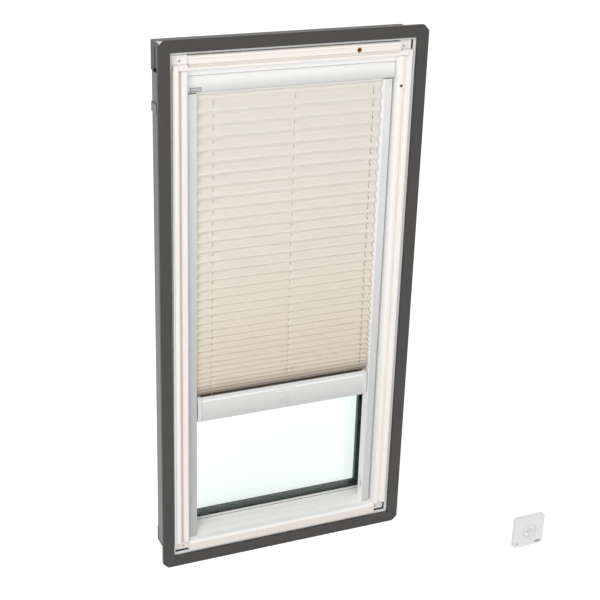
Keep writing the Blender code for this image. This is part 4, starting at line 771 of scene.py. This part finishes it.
# A white glazing bead closes the foot of the room pane behind the sill. It is moulded with a thin
# dark lip, which lies on the pine; the lip stands a little proud of the bead, and its dark line
# is partly painted shade at the bead's foot.
BEAD_SIZE = 0.0042
BEAD_LIP_DEEP, BEAD_LIP_HEIGHT = 0.0046, 0.0010
bead_width = 2 * (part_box("side_rail_right")[1].x - 0.0004)
bead_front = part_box("room_pane")[0].y - 0.0002
sill_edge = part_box("pine_sill")[1].z
piece_of("glazing_bead", slab("bead", rounded_outline(bead_width, BEAD_SIZE, 0.0008), BEAD_SIZE,
                              facing_room(0, bead_front, sill_edge + 0.0022)),
         moulded_white, "window")
# A dark gasket lip that also serves as painted shade under the bead.
piece_of("glazing_bead_lip",
         slab("lip", rounded_outline(bead_width - 0.001, BEAD_LIP_HEIGHT, 0.0003), BEAD_LIP_DEEP,
              facing_room(0, bead_front, sill_edge + 0.0006)),
         dark_gasket_and_shade, "window")


# Pleated cloth: one piece of stiffened cream polyester, folded flat over flat. Its pleats hang
# wide open at the top and close towards the bar, the free ends past the outer cords droop, and
# each cord passes through a punched slot in the middle of every flat.
PLEATS = 36
FLAT = 0.0175
TOP_PLEAT = 0.0275
CLOSING_POWER = 1.6
CLOTH_DEPTH = 0.035
FORWARD = 0.003
SLOT_HALF = 0.0009
END_DROOP = 0.0015
CREASE = 0.985
HELD_LENGTH = 0.03
TUCKED, TUCK_LENGTH = 0.35, 0.014
PINCH_REACH, PINCH_DEEP, PINCH_DROP = 0.0045, 0.0009, 0.0006
UNEVEN = 0.0005
THREAD = 0.0005
COLUMNS_ACROSS = 39
BESIDE_CORD = (SLOT_HALF, 0.0035, 0.007, 0.012)
CLEAR_OF_CORD = 0.016
MEASURED_COLUMN = 30

cloth_low, cloth_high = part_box("pleated_cloth")
cloth_top, cloth_foot, cloth_half = cloth_high.z, cloth_low.z, cloth_high.x
cord_at = [sum(corner.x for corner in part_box(f"lift_cord_{name}")) / 2
           for name in ("left", "middle", "right")]
mean_pleat = (cloth_top - cloth_foot) / PLEATS
closing = (TOP_PLEAT - mean_pleat) * (CLOSING_POWER + 1)
pleat_heights = [TOP_PLEAT - closing * ((k + 0.5) / PLEATS) ** CLOSING_POWER
                 for k in range(PLEATS)]
fit = (cloth_top - cloth_foot) / sum(pleat_heights)
levels = [cloth_top]
for pleat_height in pleat_heights:
    levels.append(levels[-1] - fit * pleat_height / 2)
    levels.append(levels[-1] - fit * pleat_height / 2)
folds = [(0.0, cloth_top)]
for at in range(1, len(levels)):
    rise = levels[at - 1] - levels[at]
    forward = -1 if at % 2 else 1
    folds.append((forward * math.sqrt(max(FLAT ** 2 - rise ** 2, 0)) / 2,
                  (levels[at - 1] + levels[at]) / 2))
folds.append((0.0, cloth_foot))


def eased(value):
    value = min(max(value, 0.0), 1.0)
    return value * value * (3 - 2 * value)


def cloth_point(x, fold, along):
    """A point of the cloth: along goes from one fold to the next, and the crease is rounded."""
    depth_0, high = folds[fold]
    depth_1, low = folds[fold + 1]
    z = high + (low - high) * along
    swing = math.asin(CREASE * math.cos(math.pi * along)) / math.asin(CREASE)
    if fold == 0:
        depth = depth_1 * math.sin(math.pi / 2 * along)
    elif fold == len(folds) - 2:
        depth = depth_0 * math.cos(math.pi / 2 * along)
    else:
        depth = (depth_0 + depth_1) / 2 + (depth_0 - depth_1) / 2 * swing
    held = eased((cloth_top - z) / HELD_LENGTH) * eased((z - cloth_foot) / HELD_LENGTH)
    if depth < 0:
        depth *= TUCKED + (1 - TUCKED) * eased((z - cloth_foot) / TUCK_LENGTH)
    past = max((x - cord_at[2]) / (cloth_half - cord_at[2]),
               (cord_at[0] - x) / (cloth_half + cord_at[0]), 0.0)
    pinch = sum(math.exp(-((x - cord) / PINCH_REACH) ** 2) for cord in cord_at)
    loose = math.sin(fold * 12.9898) * 43758.5453
    loose -= math.floor(loose)
    z -= held * (END_DROOP * past ** 0.7 + PINCH_DROP * pinch + UNEVEN * (loose - 0.5))
    wave = 0.00035 * math.sin(23 * x + 1.3 * fold) + 0.0002 * math.sin(61 * x + 2.1 * fold)
    depth += held * (wave - FORWARD - PINCH_DEEP * pinch * (1 if depth > 0 else -1))
    return Vector((x, CLOTH_DEPTH + depth, z))


columns = {-cloth_half, cloth_half}
for cord in cord_at:
    for off in BESIDE_CORD:
        columns |= {round(cord + off, 6), round(cord - off, 6)}
for at in range(COLUMNS_ACROSS):
    x = (at - COLUMNS_ACROSS // 2) * cloth_half / (COLUMNS_ACROSS / 2)
    if min(abs(x - cord) for cord in cord_at) > CLEAR_OF_CORD:
        columns.add(round(x, 6))
columns = sorted(columns)
STEPS = (0.0, 0.07, 0.2, 0.4, 0.6, 0.8, 0.93)
rows = [(fold, step) for fold in range(len(folds) - 1) for step in STEPS]
rows.append((len(folds) - 2, 1.0))
work = bmesh.new()
sheet_uv = work.loops.layers.uv.new("cloth_lay")
grid = [[work.verts.new(cloth_point(x, fold, step)) for x in columns] for fold, step in rows]
run = [0.0]
for before, after in zip(grid, grid[1:]):
    run.append(run[-1] + (after[MEASURED_COLUMN].co - before[MEASURED_COLUMN].co).length)
for at, (fold, step) in enumerate(rows[:-1]):
    for side, x in enumerate(columns[:-1]):
        slot = step in ((0.4,) if fold % 2 else (0.2, 0.4))
        slot = slot and any(abs((x + columns[side + 1]) / 2 - c) < SLOT_HALF for c in cord_at)
        if slot and 0 < fold < len(folds) - 2:
            continue
        face = work.faces.new((grid[at][side], grid[at + 1][side], grid[at + 1][side + 1],
                               grid[at][side + 1]))
        face.smooth = True
        for loop, (row, column) in zip(face.loops, ((at, side), (at + 1, side),
                                                    (at + 1, side + 1), (at, side + 1))):
            loop[sheet_uv].uv = ((columns[column] + cloth_half) / (2 * cloth_half),
                                 run[row] / run[-1])
cloth_length = run[-1]
cloth_mesh = mesh_from(work, "cloth")

weave, taken, given = effect(
    "thread_weave", {"Color": (0.8, 0.75, 0.7, 1), "Thread": (0.7, 0.65, 0.6, 1),
                     "Across": 1000.0, "Down": 3500.0, "Share": 0.5},
    {"Color": "Color", "Height": "Float"})
lay = put(weave, "ShaderNodeUVMap", uv_map="cloth_lay").outputs[0]
lay_at = parts(weave, lay)
warp = maths(weave, "SINE", maths(weave, "MULTIPLY", lay_at["X"], taken["Across"]))
weft = maths(weave, "SINE", maths(weave, "MULTIPLY", lay_at["Y"], taken["Down"]))
crossing = maths(weave, "MULTIPLY", warp, weft)
stretched = put(weave, "ShaderNodeMapping", {"Vector": lay, "Scale": (22.0, 900.0, 1.0)})
slubs = noise(weave, stretched.outputs[0], 1.0, 4.0, 0.6)
mottle = spread(weave, slubs, 0.35, 0.65, 0.0, taken["Share"])
weave.links.new(laid_over(weave, mottle, taken["Color"], taken["Thread"]), given["Color"])
weave.links.new(maths(weave, "ADD", maths(weave, "MULTIPLY", crossing, 0.25), slubs),
                given["Height"])

cream, tree, shader = new_finish("cream_cloth", {
    "Roughness": 0.85, "Sheen Weight": 0.15, "Sheen Roughness": 0.5, "Specular IOR Level": 0.2})
down = parts(tree, put(tree, "ShaderNodeUVMap", uv_map="cloth_lay").outputs[0])["Y"]
warmer = laid_over(tree, spread(tree, down, 0.1, 0.95, 0.0, 1.0), paint("#f6f2e8"),
                   paint("#f6ecdf"))
threads = use(tree, weave, {"Color": warmer, "Thread": paint("#ebe4d9"),
                            "Across": 2 * cloth_half / THREAD * math.pi,
                            "Down": cloth_length / THREAD * math.pi, "Share": 0.35})

# Light scatters inside the cloth and evens out the flats that tilt up and down, the more so where
# they lie close together near the bar. The normals are flattened for this, and colour is painted
# in as well: painted shade makes the lit flats a little darker here and painted light makes the
# others lighter. Right above the bar, where the last folds are pressed together, painted shade
# darkens the cloth.
tilt = facing(tree)["Z"]
inner = spread(tree, parts(tree, object_place(tree))["Y"], 0.020, 0.036, 0.0, 1.0)
# Painted light: flats deep in the cloth and flats that tilt down are painted lighter towards the
# bar.
glow = maths(tree, "MULTIPLY",
             maths(tree, "MAXIMUM", inner, spread(tree, tilt, 0.3, -0.6, 0.0, 1.0)),
             spread(tree, down, 0.2, 0.75, 0.0, 1.0))
softer = laid_over(tree, glow, threads["Color"], paint("#fff5e6"))
# Painted shade: flats that tilt up are painted darker towards the bar.
lit_flat = maths(tree, "MULTIPLY", spread(tree, tilt, 0.0, 0.6, 0.0, 0.75),
                 spread(tree, down, 0.25, 0.7, 0.0, 1.0))
lit_flat = maths(tree, "MULTIPLY", lit_flat, maths(tree, "SUBTRACT", 1.0, inner))
softer = laid_over(tree, lit_flat, softer, paint("#d9cdbf"))
# Painted shade on the last folds right above the bar.
pressed = maths(tree, "POWER", spread(tree, down, 0.85, 0.995, 0.0, 1.0), 2.0)
shaded = laid_over(tree, maths(tree, "MULTIPLY", pressed, 0.92), softer, paint("#83746a"))
evened = put(tree, "ShaderNodeVectorMath", {
    0: put(tree, "ShaderNodeNewGeometry").outputs["Normal"], 1: (1.0, 1.0, 0.2)},
    operation="MULTIPLY").outputs[0]
evened = put(tree, "ShaderNodeVectorMath", {0: evened}, operation="NORMALIZE").outputs[0]
feed(tree, shader, {"Base Color": shaded,
                    "Normal": raised(tree, 0.25, 0.00015, threads["Height"], evened)})
through = put(tree, "ShaderNodeBsdfTranslucent", {"Color": shaded})
lit = put(tree, "ShaderNodeMixShader", {0: spread(tree, down, 0.1, 0.6, 0.12, 0.0),
                                        1: shader.outputs[0], 2: through.outputs[0]})
feed(tree, tree.nodes["Material Output"], {"Surface": lit.outputs[0]})
cloth_mesh.materials.append(cream)
cloth = stand("cloth", cloth_mesh)
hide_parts("pleated_cloth")


def hung_between(piece):
    """The piece's place is baked into its mesh."""
    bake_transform(piece)


hung_between(cloth)


# Three braided lift cords run from their spools down through the pleats to the bar. Each is a
# thin round braid of pale polyester, narrower wherever two strands cross.
CORD_ROWS = 180
CORD_SIDES = 8
CORD_NECK = 0.93
braid, tree, shader = new_finish("braided_cord", {"Roughness": 0.7, "Sheen Weight": 0.1})
strands = put(tree, "ShaderNodeTexWave", {"Vector": object_place(tree), "Scale": 220.0,
                                          "Distortion": 3.0}, bands_direction="DIAGONAL")
strand = strands.outputs["Fac"]
feed(tree, shader, {"Base Color": laid_over(tree, strand, paint("#aaa397"), paint("#cdc7bb")),
                    "Normal": raised(tree, 0.5, 0.0002, strand)})
for side_name, x in zip(("left", "middle", "right"), cord_at):
    cord_low, cord_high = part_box(f"lift_cord_{side_name}")
    long = cord_high.z - cord_low.z
    radius = (cord_high.x - cord_low.x) / 2
    profile = [(0, long)] + [(radius * (1 if at % 2 else CORD_NECK), long * (1 - at / CORD_ROWS))
                             for at in range(CORD_ROWS + 1)] + [(0, 0)]
    mesh = turned(f"cord_{side_name}", profile, CORD_SIDES,
                  Matrix.Translation((x, (cord_low.y + cord_high.y) / 2, cord_low.z)))
    mesh.materials.append(braid)
    cord = stand(f"cord_{side_name}", mesh)
    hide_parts(f"lift_cord_{side_name}")
    hung_between(cord)


# The bottom bar is a hollow white extrusion, closed by moulded ends. A painted highlight runs
# along its shoulder, and painted shade darkens its front towards the foot.
SHOULDER = 0.007
bar_low, bar_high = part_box("bottom_bar")
dress(white_extrusion("white_extrusion_bar", "#e0e0df", "#d5d5d3", ALONG_LEVEL, 0.3,
                      foot=("#cbcbca", bar_high.z - 0.010, bar_low.z + 0.012),
                      line=("#f6f6f5", bar_high.z - SHOULDER - 0.0015, 0.0017)),
      "white_aluminium", "bottom_bar")
dress(coated("bar_moulding", "#dcdcda", "#d1d1cf", 700.0, 0.4, 0.42, 0.08, 0.05, 0.0005,
             "#ffffff", 0.3, 0.1), "white_plastic", "bar_cap_left", "bar_cap_right")

# The finger grip is moulded with a thin lip that ends in a bead; lip and bead are painted a purer
# white than the grip as a painted highlight. Under it a small bare plate is pressed into the
# bar's front.
GRIP_HEIGHT, GRIP_MIDDLE = 0.3866, 0.0014
GRIP_WIDTH, GRIP_LIP = 0.044, 0.0020
GRIP_BEAD = ((0.0, 0.0014), (0.0008, 0.0012), (0.0014, 0.0006), (0.0016, 0.0), (0.0, 0.0))
BEAD_X = -0.0212
PRESSED_HEIGHT = 0.3615
PRESSED_SIZE, PRESSED_BORDER = (0.021, 0.011), 0.001
dress(moulded_white, "white_plastic", "bar_grip")
# Painted highlight: the lip and bead are a purer white than the grip.
lip_painted_highlight = coated("lip_painted_highlight", "#ffffff", "#fafafa", 900.0, 0.3, 0.35, 0.06, 0.04, 0.0002)
piece_of("grip_lip", slab("lip", rounded_outline(GRIP_WIDTH, GRIP_LIP, 0.0008), 0.0014,
                          facing_room(GRIP_MIDDLE, bar_low.y + 0.0001, GRIP_HEIGHT)),
         lip_painted_highlight, "bottom_bar")
piece_of("grip_bead", turned("bead", GRIP_BEAD, 20, facing_room(
    BEAD_X, bar_low.y - 0.0012, GRIP_HEIGHT)), lip_painted_highlight, "bottom_bar")
pressed_place = facing_room(0.0, bar_low.y, PRESSED_HEIGHT)
pressed = piece_of("bar_plate_border",
                   slab("border", rounded_outline(*PRESSED_SIZE, 0.0012), 0.0005,
                        pressed_place @ Matrix.Translation((0, 0, -0.0001))),
                   plate_finish, "bottom_bar")
carve(pressed, slab("cut", rounded_outline(PRESSED_SIZE[0] - 2 * PRESSED_BORDER,
                                           PRESSED_SIZE[1] - 2 * PRESSED_BORDER, 0.0008),
                    0.003, pressed_place @ Matrix.Translation((0, 0, -0.001))))

# Two flat strips of drawn plastic grip the cloth's ends: a white one under the headrail and a
# dark one in the bar.
dress(coated("head_strip_white", "#f2f1ed", "#e6e5e0", 700.0, 0.4, 0.5, 0.08, 0.05, 0.0004),
      "white_plastic", "cloth_head_strip")
dress(coated("foot_strip_dark", "#5e554d", "#4d453e", 700.0, 0.4, 0.6, 0.08, 0.05, 0.0004),
      "white_plastic", "cloth_foot_strip")


# The wall keypad is a moulded cover with a raised ring, snapped on to a flat base, and a small
# clear lens for its light in one corner.
keypad_white = coated("keypad_white", "#e9e9e9", "#dfdfdf", 900.0, 0.35, 0.4, 0.06, 0.04,
                      0.0009, "#ffffff", 0.2)
dress(keypad_white, "white_plastic", "keypad_cover", "keypad_base")
dress(coated("light_lens", "#a3a5a5", "#8f9191", 1200.0, 0.5, 0.25, 0.08, 0.04, 0.0003),
      "light_lens", "keypad_light")

# Its up and down buttons make one dished disc, with a domed stop button in the middle. The marks
# are thin dark inlays: an arrowhead on each half, and a dot on the stop button.
BUTTON_OUTER = 0.0164
BUTTON_INNER = 0.0058
BUTTON_DEEP = 0.0030
STOP_RADIUS = 0.0051
HALF_GAP = 0.0004
ARC_STEPS = 36
ARROW = ((-0.00175, -0.0008), (0.00175, -0.0008), (0, 0.0008))
DOT_RADIUS = 0.0012
stop_low, stop_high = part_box("stop_button")
disc_x = (stop_low.x + stop_high.x) / 2
disc_z = (stop_low.z + stop_high.z) / 2
disc_y = stop_low.y + 0.001
disc_place = facing_room(disc_x, disc_y, disc_z)


def dish(radius):
    """How far the disc stands proud: least beside the stop button, most near its own rim."""
    share = (radius - BUTTON_INNER) / (BUTTON_OUTER - BUTTON_INNER)
    edge = max(0.0, 1 - min(radius - BUTTON_INNER, BUTTON_OUTER - radius) / 0.0006)
    return 0.00015 + 0.0008 * share ** 2 - 0.0004 * edge ** 2


def half_disc(name, upward):
    """Half of the dished disc, with straight ends beside the middle line."""
    work = bmesh.new()
    radii = [BUTTON_INNER + step for step in (0, 0.0002, 0.0006, 0.002, 0.004, 0.006, 0.008)]
    radii += [BUTTON_OUTER - step for step in (0.0012, 0.0006, 0.0002, 0)]
    arcs = []
    for radius in radii:
        trim = math.asin(HALF_GAP / radius)
        arc = []
        for step in range(ARC_STEPS + 1):
            angle = trim + (math.pi - 2 * trim) * step / ARC_STEPS
            arc.append((upward * radius * math.cos(angle), upward * radius * math.sin(angle),
                        dish(radius)))
        arcs.append(arc)
    front = [[work.verts.new(point) for point in arc] for arc in arcs]
    rear = [[work.verts.new((x, y, -BUTTON_DEEP)) for x, y, _ in arc] for arc in arcs]
    for side in (front, rear):
        for inner, outer in zip(side, side[1:]):
            for at in range(ARC_STEPS):
                work.faces.new((inner[at], inner[at + 1], outer[at + 1], outer[at]))
    for at in range(ARC_STEPS):
        for row in (0, -1):
            work.faces.new((front[row][at], front[row][at + 1], rear[row][at + 1], rear[row][at]))
    for at in range(len(arcs) - 1):
        for end in (0, -1):
            work.faces.new((front[at][end], front[at + 1][end], rear[at + 1][end],
                            rear[at][end]))
    bmesh.ops.recalc_face_normals(work, faces=work.faces)
    mesh = mesh_from(work, name, disc_place)
    mesh.shade_smooth()
    mesh.set_sharp_from_angle(angle=math.radians(40))
    return mesh


inlay = coated("dark_inlay", "#3d3e40", "#323335", 1500.0, 0.4, 0.4, 0.08, 0.04, 0.0001)
for button, upward, far in (("up", 1, 0.0115), ("down", -1, 0.0117)):
    half = piece_of(f"{button}_half", half_disc(f"{button}_half", upward), keypad_white,
                    f"{button}_button")
    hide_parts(f"{button}_button")
    arrow = [(upward * x, upward * y) for x, y in ARROW]
    piece_of(f"{button}_arrow", slab("arrow", arrow, 0.0005, facing_room(
        disc_x, disc_y - dish(far) + 0.00035, disc_z + upward * far)), inlay,
        f"{button}_button")
dome = [(STOP_RADIUS * share, 0.0008 - 0.0006 * share ** 2)
        for share in (0, 0.3, 0.6, 0.85, 0.95)]
dome += [(STOP_RADIUS, -0.0001), (STOP_RADIUS, -BUTTON_DEEP), (0, -BUTTON_DEEP)]
stop = piece_of("stop_dome", turned("stop_dome", dome, 32, disc_place), keypad_white,
                "stop_button")
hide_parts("stop_button")
dot = [(0, 0.00095), (DOT_RADIUS - 0.0002, 0.00092), (DOT_RADIUS, 0.0008),
       (DOT_RADIUS, 0.0004), (0, 0.0004)]
piece_of("stop_dot", turned("stop_dot", dot, 20, disc_place), inlay, "stop_button")

# Dark pieces fill the gaps round the buttons as painted shade: two rings and the two halves of
# the line between the up and down buttons.
GAP_FRONT, GAP_BACK = -0.0004, -0.0028
LINE_BACK, LINE_THICK, LINE_HEIGHT = -0.0027, 0.0024, 0.0006
button_gap_shade = coated("button_gap_painted_shade", "#1e1f20", "#161718", 1500.0, 0.4, 0.6, 0.08, 0.04, 0.0001)
for ring_name, inside, outside in (("outer", BUTTON_OUTER + 0.0001, BUTTON_OUTER + 0.0007),
                                   ("inner", STOP_RADIUS + 0.0001, BUTTON_INNER - 0.0001)):
    ring = [(inside, GAP_BACK), (outside, GAP_BACK), (outside, GAP_FRONT), (inside, GAP_FRONT),
            (inside, GAP_BACK)]
    piece_of(f"gap_ring_{ring_name}", turned("ring", ring, 48, disc_place), button_gap_shade, "window")
line = rounded_outline(BUTTON_OUTER - BUTTON_INNER - 0.0004, LINE_HEIGHT, 0.0001)
for side_name, side in (("left", -1), ("right", 1)):
    middle = side * (BUTTON_INNER + BUTTON_OUTER) / 2
    piece_of(f"gap_line_{side_name}", slab("line", line, LINE_THICK, facing_room(
        disc_x + middle, disc_y, disc_z) @ Matrix.Translation((0, 0, LINE_BACK))), button_gap_shade,
        "window")

# A bare grey plate is set into the lower right of the cover. It is a thin sheet with nothing on
# it, flush with the cover's front.
BARE_SIZE, BARE_THICK = (0.0146, 0.0051), 0.0005
BARE_RIGHT, BARE_UP = 0.0648, 0.0088
cover_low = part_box("keypad_cover")[0]
bare_plate = coated("bare_plate", "#8e9091", "#808283", 1100.0, 0.4, 0.38, 0.08, 0.04, 0.0002,
                    "#a9abac", 0.4)
piece_of("keypad_plate", slab("keypad_plate", rounded_outline(*BARE_SIZE, 0.0008), BARE_THICK,
                              facing_room(cover_low.x + BARE_RIGHT, disc_y + 0.00025,
                                          cover_low.z + BARE_UP)),
         bare_plate, "window")
